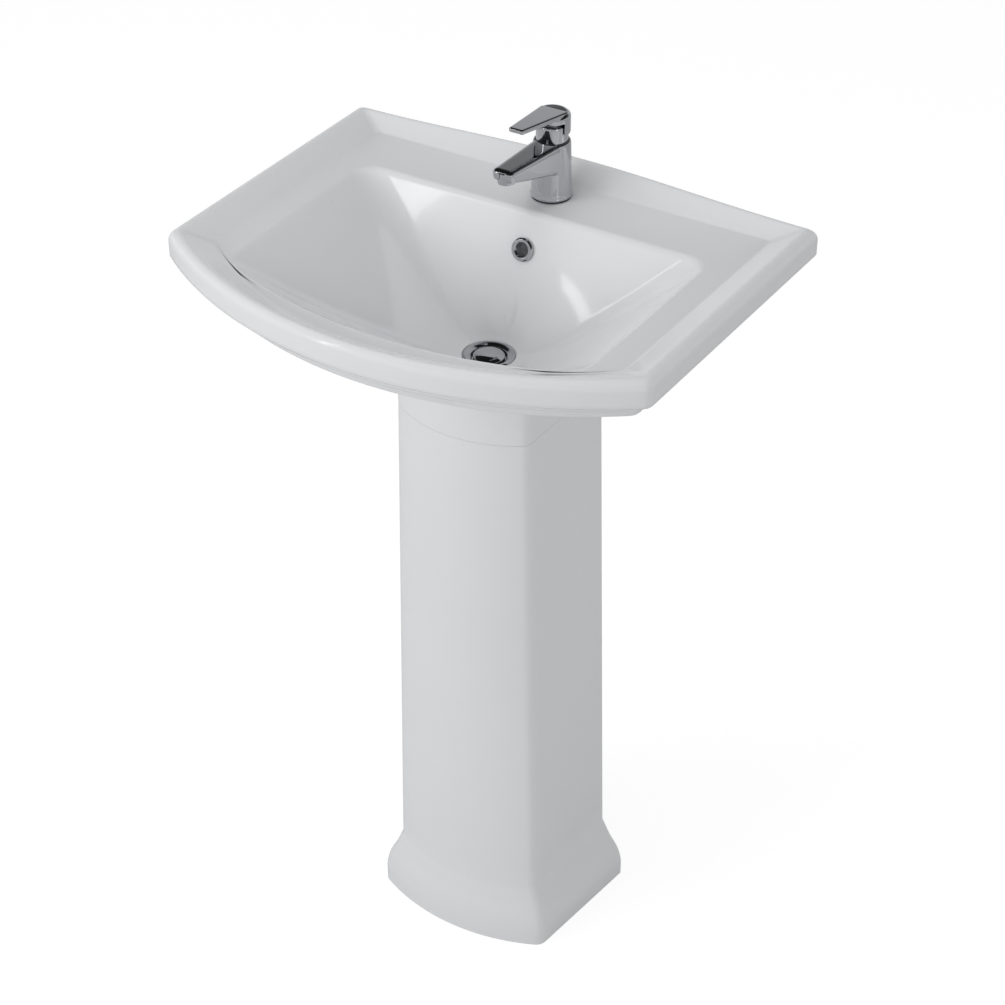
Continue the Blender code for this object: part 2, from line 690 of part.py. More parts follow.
def make_tap():
    make_tap_body()
    make_lever()
    # grub screw, from the spindle out to the plug that hides it
    hood_back = tap_y + cover_radius + slip + hood_wall
    screw_start = tap_y + spindle_radius + gap
    add("lever_grub_screw", rod_mesh("lever_grub_screw", grub_radius, 0.0100, (0, 1, 0), 12), steel,
        (0, screw_start, grub_z()))
    add("indicator_plug", rod_mesh("indicator_plug", indicator_radius, indicator_depth - 0.0002, (0, 1, 0)),
        indicator_red, (0, hood_back - indicator_depth, grub_z()))
    # cover: an upright sleeve with a domed end, open for the spindle
    inner = cover_radius - 0.0015
    bottom = tap_body_height + gap - pivot_height
    mouth = cover_radius - 0.0045
    turned("cartridge_cover", [
        (mouth, cover_height), (cover_radius - 0.0020, cover_height - 0.0016),
        (cover_radius - 0.0004, cover_height - 0.0032), (cover_radius, cover_height - 0.0050),
        (cover_radius, bottom), (inner, bottom), (inner, cover_height - 0.0056),
        (inner - 0.0010, cover_height - 0.0040), (mouth, cover_height - 0.0018)], chrome, (0, tap_y, pivot_z))
    # cartridge and the nut that holds it down
    nut_bottom = tap_body_height - 0.0150
    cartridge_low = nut_bottom - 0.0250
    add("cartridge", rod_mesh("cartridge", cavity_radius - slip, 0.0250 - gap, steps=24), ceramic_disc,
        tap_at(up=cartridge_low))
    turned("cartridge_nut", ring_profile(cavity_radius - gap, 0.0132, 0.0062, 0.0), brass,
           tap_at(up=nut_bottom), steps=20)
    # carrier that swivels, with cheeks for the lever's pin
    carrier = add("swivel_carrier", rod_mesh("swivel_carrier", 0.0126, pivot_height + 0.0045 - nut_bottom,
                                             steps=20), white_plastic, tap_at(up=nut_bottom))
    slot = add("carrier_slot_cut", box_mesh("carrier_slot_cut", (2 * spindle_radius + 2 * slip, 0.04, 0.04),
                                            (0, 0, 0.02)), white_plastic, tap_at(up=pivot_height - 0.0075))
    cut(carrier, slot)
    pin_hole = add("pin_hole_cut", rod_mesh("pin_hole_cut", pin_radius + gap, 0.04, (1, 0, 0), 12),
                   white_plastic, (-0.02, tap_y, pivot_z))
    cut(carrier, pin_hole)
    add("pivot_pin", rod_mesh("pivot_pin", pin_radius, 0.0236, (1, 0, 0), 12), steel,
        (-0.0118, tap_y, pivot_z))
    # spindle on the pin
    spindle_low = 0.0055
    spindle_high = plate_height + 0.0034
    spindle = add("spindle", rod_mesh("spindle", spindle_radius, spindle_low + spindle_high, steps=16), brass,
                  (0, tap_y, pivot_z - spindle_low))
    pin_bore = add("pin_bore_cut", rod_mesh("pin_bore_cut", pin_radius + gap, 0.04, (1, 0, 0), 12), brass,
                   (-0.02, tap_y, pivot_z))
    cut(spindle, pin_bore)
    # aerator
    mouth = tap_at(forward=spout_reach, up=spout_height - 0.0035)
    turned("aerator_housing", [(0.0093, 0.0125), (0.0093, 0.0), (0.0075, 0.0), (0.0075, 0.0125)], chrome,
           mouth)
    insert = add("aerator_insert", rod_mesh("aerator_insert", 0.0072, 0.0090, steps=24), white_plastic,
                 mouth + Vector((0, 0, 0.0015)))
    for i in range(4):
        angle = math.tau * i / 4
        jet = add("jet_cut", rod_mesh("jet_cut", 0.0011, 0.03, steps=6), white_plastic,
                  mouth + Vector((0.0042 * math.cos(angle), 0.0042 * math.sin(angle), -0.01)))
        cut(insert, jet)
    # seal under the base, and the clamp under the ledge
    turned("tap_base_seal", ring_profile(tap_radius - 0.0005, tap_hole_radius - 0.0035, 0.0018, gap),
           black_rubber, tap_at())
    under = ledge_z - china
    clamp_y = -0.0095
    pieces = [("clamp_rubber", clamp_radius, 0.0030, black_rubber, under - gap),
              ("clamp_plate", clamp_radius - 0.0015, 0.0025, steel, under - 2 * gap - 0.0030)]
    for name, radius, thick, finish, top in pieces:
        plate = add(name, rod_mesh(name, radius, thick, steps=24), finish, (0, tap_y, top - thick))
        slot = add(name + "_slot", box_mesh(name + "_slot", (0.026, 0.04, 0.02), (0, -0.02 + 0.0035, 0)),
                   finish, (0, tap_y, top - thick / 2))
        cut(plate, slot)
        stud_hole = add(name + "_hole", rod_mesh(name + "_hole", stud_radius + slip, 0.02, steps=16), finish,
                        (0, tap_y - clamp_y, top - 0.01))
        cut(plate, stud_hole)
    stud_top = 0.0135
    add("tap_stud", rod_mesh("tap_stud", stud_radius, stud_length, steps=16), steel,
        (0, tap_y - clamp_y, ledge_z + stud_top - stud_length))
    nut_top = under - 3 * gap - 0.0055
    nut = add("stud_nut", rod_mesh("stud_nut", 0.0075, 0.012, steps=6), brass,
              (0, tap_y - clamp_y, nut_top - 0.012))
    nut_bore = add("stud_nut_bore", rod_mesh("stud_nut_bore", stud_radius + gap, 0.03, steps=16), brass,
                   (0, tap_y - clamp_y, nut_top - 0.02))
    cut(nut, nut_bore)
    for side, name in ((-1, "hot_inlet"), (1, "cold_inlet")):
        place = tap_at(right=side * 0.0068, forward=0.004, up=0.0130)
        shank = inlet_radius
        turned(name, [(shank, 0.0), (shank, -inlet_length * 0.72), (shank + 0.0010, -inlet_length * 0.74),
                      (shank + 0.0010, -inlet_length), (0.0030, -inlet_length), (0.0030, 0.0)],
               brass, place, steps=16)


# ---- Overflow ring and waste ----

def make_overflow_ring():
    place = overflow_place()
    slope = bowl_wall_axis()
    hole = overflow_radius
    rim = overflow_ring_radius
    turned("overflow_ring", [
        (hole - 0.0018, -0.0100), (hole - 0.0018, 0.0018), (hole - 0.0006, 0.0030), (rim - 0.0016, 0.0030),
        (rim, 0.0016), (rim, 0.0006), (hole - 0.0004, 0.0006), (hole - 0.0004, -0.0100)],
        chrome, place, steps=28, axis=slope)


def bowl_wall_axis():
    """Direction out of the bowl's back wall at the overflow."""
    step = 0.02
    share = 1 - (1 - overflow_drop / bowl_depth) ** (1 / bowl_curve)
    run = (bowl_back_y - waste_y - flange_radius) * step
    fall = bowl_depth * (bowl_fall(share + step) - bowl_fall(share))
    return Vector((0, -fall, run)).normalized()


def make_waste():
    axis = (0, waste_y, 0)
    top = flange_seat_z + gap
    rim = top + 0.0026
    bottom = waste_z - waste_length
    seat = top - 0.0040
    body = turned("waste_body", [
        (flange_radius - 0.0030, rim), (flange_radius - 0.0006, rim - 0.0009), (flange_radius, top + 0.0004),
        (flange_radius, top), (waste_radius, top), (waste_radius, bottom), (waste_bore, bottom),
        (waste_bore, seat), (plug_radius + 0.0010, seat), (plug_radius + 0.0022, top + 0.0002),
        (flange_radius - 0.0050, rim - 0.0004)], chrome, axis)
    slot_z = waste_z - boss_thickness * 0.52
    slots = add("overflow_slot_cut", box_mesh("overflow_slot_cut", (0.012, 0.10, 0.010)), chrome,
                (0, waste_y, slot_z))
    cut(body, slots)
    boss_bottom = waste_z - boss_thickness
    turned("waste_bottom_seal", [
        (waste_radius + 0.0070, boss_bottom - gap), (waste_radius + 0.0085, boss_bottom - 0.0045),
        (waste_radius + gap, boss_bottom - 0.0045), (waste_radius + gap, boss_bottom - gap)],
        black_rubber, axis)
    nut_top = boss_bottom - 0.0045 - gap
    nut = add("waste_backnut", rod_mesh("waste_backnut", waste_radius + 0.0105, 0.010, steps=6), brass,
              (0, waste_y, nut_top - 0.010))
    bore = add("backnut_bore_cut", rod_mesh("backnut_bore_cut", waste_radius + gap, 0.03,
                                            steps=round_steps), brass, (0, waste_y, nut_top - 0.02))
    cut(nut, bore)
    # plug: cap, seal and stem move together
    cap_low = seat + 0.0030
    turned("plug_cap", [
        (0.0, cap_low + 0.0058), (plug_radius * 0.45, cap_low + 0.0054),
        (plug_radius * 0.80, cap_low + 0.0040), (plug_radius - 0.0006, cap_low + 0.0022),
        (plug_radius, cap_low + 0.0012), (plug_radius - 0.0004, cap_low), (0.0, cap_low)],
        chrome, axis, closed=False)
    turned("plug_seal", ring_profile(plug_radius - 0.0008, 0.0050, cap_low - gap, seat + gap), black_rubber,
           axis)
    guide_top = waste_z - 0.046
    stem_low = guide_top - 0.026
    add("plug_stem", rod_mesh("plug_stem", 0.0030, cap_low - gap - stem_low, steps=16), brass,
        (0, waste_y, stem_low))
    # guide: a spider pressed into the body, with a long hub
    guide = add("plug_guide", rod_mesh("plug_guide", waste_bore - gap, 0.005, steps=24), white_plastic,
                (0, waste_y, guide_top - 0.005))
    hub = add("guide_hub_join", rod_mesh("guide_hub_join", 0.0056, 0.022, steps=16), white_plastic,
              (0, waste_y, guide_top - 0.022))
    join(guide, hub)
    for i in range(3):
        angle = math.tau * (i + 0.5) / 3
        drain = add("guide_drain_cut", rod_mesh("guide_drain_cut", 0.0042, 0.02, steps=12), white_plastic,
                    (0.0105 * math.cos(angle), waste_y + 0.0105 * math.sin(angle), guide_top - 0.015))
        cut(guide, drain)
    stem_bore = add("stem_bore_cut", rod_mesh("stem_bore_cut", 0.0030 + slip, 0.06, steps=16), white_plastic,
                    (0, waste_y, guide_top - 0.04))
    cut(guide, stem_bore)
    # spring between guide and plug
    wire = 0.0005
    turns, per_turn = 5, 8
    low = guide_top + wire + gap
    rise = seat - 0.0008 - wire - low
    points = []
    for i in range(turns * per_turn + 1):
        angle = math.tau * i / per_turn
        height = low + rise * i / (turns * per_turn)
        points.append((0.0046 * math.cos(angle), waste_y + 0.0046 * math.sin(angle), height))
    tube("plug_spring", points, wire, steel, sides=0)


# ---- Trap ----

def make_trap():
    axis = (0, waste_y, 0)
    waste_bottom = waste_z - waste_length
    # inlet tube hangs from the coupling nut, its collar under the waste body
    collar_top = waste_bottom - 0.0026
    tube_low = outlet_z - 0.036
    inner = trap_tube_radius - trap_tube_wall
    turned("trap_inlet_washer", ring_profile(waste_radius, waste_bore, waste_bottom - gap, collar_top + gap),
           black_rubber, axis)
    turned("trap_inlet_tube", [
        (waste_radius, collar_top), (waste_radius, collar_top - 0.003),
        (trap_tube_radius, collar_top - 0.003), (trap_tube_radius, tube_low), (inner, tube_low),
        (inner, collar_top)], chrome, axis)
    turned("trap_coupling_nut", [
        (waste_radius + 0.0045, waste_bottom + 0.014), (waste_radius + 0.0045, collar_top - 0.0065),
        (trap_tube_radius + gap, collar_top - 0.0065), (trap_tube_radius + gap, collar_top - 0.003 - gap),
        (waste_radius + gap, collar_top - 0.003 - gap), (waste_radius + gap, waste_bottom + 0.014)],
        chrome, axis, steps=24)
    # body, with the outlet socket on its back
    body_top = outlet_z + trap_height * 0.34
    body_low = body_top - trap_height
    wall = 0.0020
    neck = trap_tube_radius + 0.0040
    body = turned("trap_body", [
        (neck, body_top + 0.008), (neck, body_top), (trap_radius, body_top - 0.004), (trap_radius, body_low),
        (trap_radius - wall, body_low), (trap_radius - wall, body_top - 0.006),
        (neck - wall, body_top - 0.003), (trap_tube_radius + gap, body_top),
        (trap_tube_radius + gap, body_top + 0.008)], chrome, axis)
    socket_reach = trap_radius + 0.016
    inside = trap_radius * 0.6
    socket = add("outlet_socket_join", rod_mesh("outlet_socket_join", outlet_radius + 0.0035,
                                                socket_reach - inside, (0, 1, 0), round_steps),
                 chrome, (0, waste_y + inside, outlet_z))
    inner_wall = turned("trap_core_cut", [(0.0, body_top - 0.006), (trap_radius - wall, body_top - 0.006),
                                          (trap_radius - wall, body_low - 0.01), (0.0, body_low - 0.01)],
                        chrome, axis, closed=False)
    cut(socket, inner_wall)
    join(body, socket)
    bore = add("outlet_bore_cut",
               rod_mesh("outlet_bore_cut", outlet_radius + gap, 0.08, (0, 1, 0), round_steps),
               chrome, (0, waste_y + 0.004, outlet_z))
    cut(body, bore)
    turned("trap_top_nut", [
        (neck + 0.0035, body_top + 0.0125), (neck + 0.0035, body_top + 0.0015),
        (neck + gap, body_top + 0.0015), (neck + gap, body_top + 0.008 + gap),
        (trap_tube_radius + gap, body_top + 0.008 + gap), (trap_tube_radius + gap, body_top + 0.0125)],
        chrome, axis, steps=24)
    # cup at the bottom
    cup_top = body_low + 0.012
    cup_low = body_low - 0.022
    turned("trap_cup_seal", ring_profile(trap_radius, trap_radius - wall, body_low - gap, body_low - 0.0020),
           black_rubber, axis)
    shelf = body_low - 0.0020 - gap
    turned("trap_cup", [
        (0.0, cup_low + 0.002), (trap_radius * 0.52, cup_low + 0.002),
        (trap_radius - 0.0050, cup_low + 0.007), (trap_radius - wall - 0.001, shelf),
        (trap_radius + gap, shelf), (trap_radius + gap, cup_top), (trap_radius + 0.0030, cup_top),
        (trap_radius + 0.0030, shelf), (trap_radius - 0.002, cup_low + 0.006),
        (trap_radius * 0.55, cup_low), (0.0, cup_low)], chrome, axis, closed=False)
    # outlet pipe, its nut and the wall flange
    pipe_start = waste_y + trap_radius * 0.82 + 0.006
    face = waste_y + socket_reach
    turned("outlet_pipe", ring_profile(outlet_radius, outlet_radius - trap_tube_wall, 0.0,
                                       pipe_start - wall_y + gap),
           chrome, (0, wall_y - gap, outlet_z), axis=(0, 1, 0))
    turned("outlet_nut", [
        (outlet_radius + 0.0075, 0.0), (outlet_radius + 0.0075, -0.014),
        (outlet_radius + 0.0035 + gap, -0.014), (outlet_radius + 0.0035 + gap, -0.0035),
        (outlet_radius + gap, -0.0035), (outlet_radius + gap, 0.0)],
        chrome, (0, face + 0.0035 + gap, outlet_z), steps=24, axis=(0, 1, 0))
    turned("wall_flange", [
        (outlet_radius + 0.018, 0.0), (outlet_radius + 0.018, -0.0015), (outlet_radius + 0.010, -0.0060),
        (outlet_radius + 0.0020, -0.0080), (outlet_radius + gap, -0.0080), (outlet_radius + gap, 0.0)],
        chrome, (0, wall_y, outlet_z), axis=(0, 1, 0))


# ---- Fixings ----

def make_wall_fixings():
    face = wall_y - china
    for side, hand in ((-1, "left"), (1, "right")):
        x = side * wall_bolt_spacing / 2
        add("wall_bolt_" + hand, rod_mesh("wall_bolt_" + hand, wall_bolt_radius, 0.042, (0, -1, 0), 16),
            steel, (x, wall_y - gap, bolt_z()))
        turned("bolt_sleeve_" + hand, [
            (wall_bolt_radius + 0.0017, china * 0.8), (wall_bolt_radius + 0.0017, -gap),
            (wall_bolt_radius + 0.0068, -gap), (wall_bolt_radius + 0.0068, -0.0025),
            (wall_bolt_radius + gap, -0.0025), (wall_bolt_radius + gap, china * 0.8)],
            white_plastic, (x, face, bolt_z()), steps=20, axis=(0, 1, 0))
        nut = add("wall_nut_" + hand, rod_mesh("wall_nut_" + hand, 0.0095, 0.008, (0, -1, 0), 6), steel,
                  (x, face - 0.0025 - gap, bolt_z()))
        bore = add("wall_nut_bore", rod_mesh("wall_nut_bore", wall_bolt_radius + gap, 0.03, (0, -1, 0), 16),
                   steel, (x, face + 0.01, bolt_z()))
        cut(nut, bore)


def make_floor_fixings():
    for side, hand in ((-1, "left"), (1, "right")):
        place = (side * lug_x(), lug_y(), 0)
        head = 0.012 + 2 * gap + 0.0015
        turned("floor_screw_" + hand, [
            (0.0, head + 0.0040), (floor_screw_radius + 0.0010, head + 0.0036),
            (floor_screw_radius + 0.0030, head + 0.0018), (floor_screw_radius + 0.0030, head),
            (floor_screw_radius, head), (floor_screw_radius, 0.0005), (0.0, 0.0005)],
            steel, place, steps=16, closed=False)
        turned("floor_washer_" + hand, ring_profile(floor_screw_radius + 0.0045, floor_screw_radius + gap,
                                                    head - gap, 0.012 + gap), white_plastic, place, steps=20)


make_pedestal()
make_basin()
make_tap()
make_overflow_ring()
make_waste()
make_trap()
make_wall_fixings()
make_floor_fixings()
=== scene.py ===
import json
import math

import bmesh
import bpy
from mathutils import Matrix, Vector


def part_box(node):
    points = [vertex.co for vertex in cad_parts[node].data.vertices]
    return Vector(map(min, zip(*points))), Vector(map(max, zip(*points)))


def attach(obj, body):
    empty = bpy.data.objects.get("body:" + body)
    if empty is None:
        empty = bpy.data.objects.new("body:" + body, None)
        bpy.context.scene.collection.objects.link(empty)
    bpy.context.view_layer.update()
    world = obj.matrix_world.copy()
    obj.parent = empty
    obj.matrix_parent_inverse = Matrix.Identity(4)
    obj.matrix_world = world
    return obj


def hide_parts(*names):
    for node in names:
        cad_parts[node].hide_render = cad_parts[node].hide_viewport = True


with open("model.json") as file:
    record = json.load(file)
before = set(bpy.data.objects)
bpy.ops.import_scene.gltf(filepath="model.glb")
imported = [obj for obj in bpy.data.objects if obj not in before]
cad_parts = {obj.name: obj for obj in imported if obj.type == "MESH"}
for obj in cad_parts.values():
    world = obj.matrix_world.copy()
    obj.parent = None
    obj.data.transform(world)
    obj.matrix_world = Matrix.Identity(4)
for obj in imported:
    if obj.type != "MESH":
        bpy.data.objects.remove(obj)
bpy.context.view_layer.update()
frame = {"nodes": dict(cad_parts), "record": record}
print("frame loaded")


# Helpers for modelling

def deselectAll():
    if bpy.context.mode != "OBJECT":
        bpy.ops.object.mode_set(mode="OBJECT")
    bpy.ops.object.select_all(action="DESELECT")


def makeActive(thing):
    deselectAll()
    thing.select_set(True)
    bpy.context.view_layer.objects.active = thing


def renamed(thing, name):
    thing.name = name
    thing.data.name = name
    return thing


def applyPlace(thing):
    makeActive(thing)
    bpy.ops.object.transform_apply(location=True, rotation=True, scale=True)


def addModifier(thing, kind, **settings):
    modifier = thing.modifiers.new(kind.lower(), kind)
    for setting, value in settings.items():
        setattr(modifier, setting, value)
    makeActive(thing)
    bpy.ops.object.modifier_apply(modifier=modifier.name)


def carve(thing, tool, operation="DIFFERENCE"):
    addModifier(thing, "BOOLEAN", operation=operation, object=tool, solver="EXACT")
    bpy.data.objects.remove(tool, do_unlink=True)


def cleanMesh(thing):
    makeActive(thing)
    bpy.ops.object.mode_set(mode="EDIT")
    bpy.ops.mesh.select_all(action="SELECT")
    bpy.ops.mesh.remove_doubles(threshold=0.000004)
    bpy.ops.mesh.normals_make_consistent(inside=False)
    bpy.ops.object.mode_set(mode="OBJECT")


def smoothShade(thing, angle=32):
    makeActive(thing)
    bpy.ops.object.shade_smooth_by_angle(angle=math.radians(angle))


def spot(point):
    return tuple(round(c, 6) for c in point)


def capRing(cap):
    if cap == "pole":
        bpy.ops.mesh.merge(type="CENTER")
    elif cap == "flat":
        bpy.ops.mesh.edge_face_add()


def extrudeRings(name, rings, startCap="none", endCap="none"):
    # one ring is extruded again and again, and each new copy is moved to its place
    deselectAll()
    bpy.ops.mesh.primitive_circle_add(vertices=len(rings[0]), radius=0.01, location=(0, 0, 0))
    thing = renamed(bpy.context.object, name)
    bpy.ops.object.mode_set(mode="EDIT")
    bm = bmesh.from_edit_mesh(thing.data)
    bm.verts.ensure_lookup_table()
    for vert, point in zip(bm.verts, rings[0]):
        vert.co = point
    for before, after in zip(rings, rings[1:]):
        bpy.ops.mesh.extrude_region_move()
        bm = bmesh.from_edit_mesh(thing.data)
        nextPlace = {spot(Vector(a)): b for a, b in zip(before, after)}
        for vert in bm.verts:
            if vert.select:
                vert.co = nextPlace[spot(vert.co)]
    capRing(endCap)
    if startCap != "none":
        bpy.ops.mesh.select_all(action="DESELECT")
        bm = bmesh.from_edit_mesh(thing.data)
        starts = {spot(Vector(point)) for point in rings[0]}
        for vert in bm.verts:
            vert.select = spot(vert.co) in starts
        bm.select_flush_mode()
        capRing(startCap)
    bpy.ops.object.mode_set(mode="OBJECT")
    cleanMesh(thing)
    return thing


def along(start, end, share):
    return tuple(a + (b - a) * share for a, b in zip(start, end))


def corner(before, middle, after, steps):
    return [along(along(before, middle, i / steps), along(middle, after, i / steps), i / steps)
            for i in range(1, steps + 1)]


def softened(profile, radius, steps=3, closed=False):
    # rounds each corner of a turned outline, so that its edges catch the light
    count = len(profile)
    made = []
    for i, here in enumerate(profile):
        if not closed and i in (0, count - 1):
            made.append(here)
            continue
        before, after = profile[i - 1], profile[(i + 1) % count]
        reach = [min(0.45, radius / max(1e-9, math.dist(here, other))) for other in (before, after)]
        start, end = along(here, before, reach[0]), along(here, after, reach[1])
        made += [start] + corner(start, here, end, steps)
    return made


def turnPiece(name, profile, centre, axis=(0, 0, 1), steps=72, closed=False):
    # profile is a list of (radius, height); a closed one is a ring, an open one ends on its axis
    turn = Vector((0, 0, 1)).rotation_difference(Vector(axis)).to_matrix()
    points = profile + [profile[0]] if closed else profile[1:-1]
    rings = []
    for radius, height in points:
        rings.append([Vector(centre) + turn @ Vector((radius * math.cos(math.tau * i / steps),
                                                      radius * math.sin(math.tau * i / steps), height))
                      for i in range(steps)])
    if closed:
        return extrudeRings(name, rings)
    poles = [Vector(centre) + turn @ Vector((0, 0, profile[k][1])) for k in (0, -1)]
    rings = [[along(pole, p, 0.001) for p in ring] for pole, ring in ((poles[0], rings[0]),)] + rings
    rings.append([along(poles[1], p, 0.001) for p in rings[-1]])
    return extrudeRings(name, rings, startCap="pole", endCap="pole")


def rodTool(radius, start, end, steps=48):
    run = Vector(end) - Vector(start)
    deselectAll()
    bpy.ops.mesh.primitive_cylinder_add(vertices=steps, radius=radius, depth=run.length,
                                        location=(Vector(start) + Vector(end)) / 2)
    tool = bpy.context.object
    tool.rotation_euler = Vector((0, 0, 1)).rotation_difference(run).to_euler()
    applyPlace(tool)
    return tool


def pipeTool(points, radius, steps=32):
    # a bent rod; each ring lies square to the bisector of its corner
    rings = []
    for i, point in enumerate(points):
        before = (point - points[i - 1]).normalized() if i else (points[1] - point).normalized()
        after = (points[i + 1] - point).normalized() if i + 1 < len(points) else before
        normal = (before + after).normalized()
        side = Vector((1, 0, 0))
        up = normal.cross(side).normalized() / max(0.3, normal.dot(before))
        turns = [math.tau * k / steps for k in range(steps)]
        rings.append([point + (side * math.cos(turn) + up * math.sin(turn)) * radius for turn in turns])
    return extrudeRings("pipe", rings, startCap="flat", endCap="flat")


def boxTool(low, high):
    deselectAll()
    bpy.ops.mesh.primitive_cube_add(size=1, location=(Vector(low) + Vector(high)) / 2)
    tool = bpy.context.object
    tool.scale = Vector(high) - Vector(low)
    applyPlace(tool)
    return tool


def fuse(name, things, voxel, rounds):
    # overlapping solids become one skin, whose joins are then smoothed
    deselectAll()
    for thing in things:
        thing.select_set(True)
    bpy.context.view_layer.objects.active = things[0]
    bpy.ops.object.join()
    whole = renamed(bpy.context.object, name)
    addModifier(whole, "REMESH", mode="VOXEL", voxel_size=voxel, adaptivity=0.0)
    addModifier(whole, "CORRECTIVE_SMOOTH", factor=0.5, iterations=rounds, smooth_type="LENGTH_WEIGHTED",
                use_only_smooth=True)
    return whole


# Materials

def newGroup(name, sockets, outputs):
    group = bpy.data.node_groups.new(name, "ShaderNodeTree")
    for label, kind, value in sockets:
        made = group.interface.new_socket(name=label, in_out="INPUT", socket_type=kind)
        if value is not None:
            made.default_value = value
    for label, kind in outputs:
        group.interface.new_socket(name=label, in_out="OUTPUT", socket_type=kind)
    nodes = group.nodes
    return group, nodes.new("NodeGroupInput"), nodes.new("NodeGroupOutput")


def makeUnevenGroup():
    # broad drift and fine grain from 0 to 1, for sheen and colour that aren't quite even
    group, taken, given = newGroup(
        "unevenSurface",
        [("Vector", "NodeSocketVector", None), ("Scale", "NodeSocketFloat", 20.0),
         ("Fine", "NodeSocketFloat", 0.3)],
        [("Value", "NodeSocketFloat")])
    nodes, links = group.nodes, group.links
    broad = nodes.new("ShaderNodeTexNoise")
    broad.inputs["Detail"].default_value = 3.0
    fineScale = nodes.new("ShaderNodeMath")
    fineScale.operation = "MULTIPLY"
    fineScale.inputs[1].default_value = 14.0
    fine = nodes.new("ShaderNodeTexNoise")
    fine.inputs["Detail"].default_value = 2.0
    mix = nodes.new("ShaderNodeMix")
    mix.data_type = "FLOAT"
    links.new(taken.outputs["Vector"], broad.inputs["Vector"])
    links.new(taken.outputs["Scale"], broad.inputs["Scale"])
    links.new(taken.outputs["Scale"], fineScale.inputs[0])
    links.new(taken.outputs["Vector"], fine.inputs["Vector"])
    links.new(fineScale.outputs[0], fine.inputs["Scale"])
    links.new(taken.outputs["Fine"], mix.inputs[0])
    links.new(broad.outputs["Fac"], mix.inputs[2])
    links.new(fine.outputs["Fac"], mix.inputs[3])
    links.new(mix.outputs[0], given.inputs["Value"])
    return group


def makeSpeckGroup():
    # small scattered dots, such as pinholes in glaze or dried water spots
    group, taken, given = newGroup(
        "scatteredSpecks",
        [("Vector", "NodeSocketVector", None), ("Scale", "NodeSocketFloat", 120.0),
         ("Size", "NodeSocketFloat", 0.12), ("Rarity", "NodeSocketFloat", 0.8)],
        [("Mask", "NodeSocketFloat")])
    nodes, links = group.nodes, group.links
    cells = nodes.new("ShaderNodeTexVoronoi")
    dot = nodes.new("ShaderNodeMath")
    dot.operation = "LESS_THAN"
    pick = nodes.new("ShaderNodeSeparateColor")
    chosen = nodes.new("ShaderNodeMath")
    chosen.operation = "GREATER_THAN"
    both = nodes.new("ShaderNodeMath")
    both.operation = "MULTIPLY"
    links.new(taken.outputs["Vector"], cells.inputs["Vector"])
    links.new(taken.outputs["Scale"], cells.inputs["Scale"])
    links.new(cells.outputs["Distance"], dot.inputs[0])
    links.new(taken.outputs["Size"], dot.inputs[1])
    links.new(cells.outputs["Color"], pick.inputs["Color"])
    links.new(pick.outputs[0], chosen.inputs[0])
    links.new(taken.outputs["Rarity"], chosen.inputs[1])
    links.new(dot.outputs[0], both.inputs[0])
    links.new(chosen.outputs[0], both.inputs[1])
    links.new(both.outputs[0], given.inputs["Mask"])
    return group


unevenSurface = makeUnevenGroup()
scatteredSpecks = makeSpeckGroup()


def placeGroup(tree, group, vector, **values):
    node = tree.nodes.new("ShaderNodeGroup")
    node.node_tree = group
    tree.links.new(vector, node.inputs["Vector"])
    for label, value in values.items():
        node.inputs[label.capitalize()].default_value = value
    return node


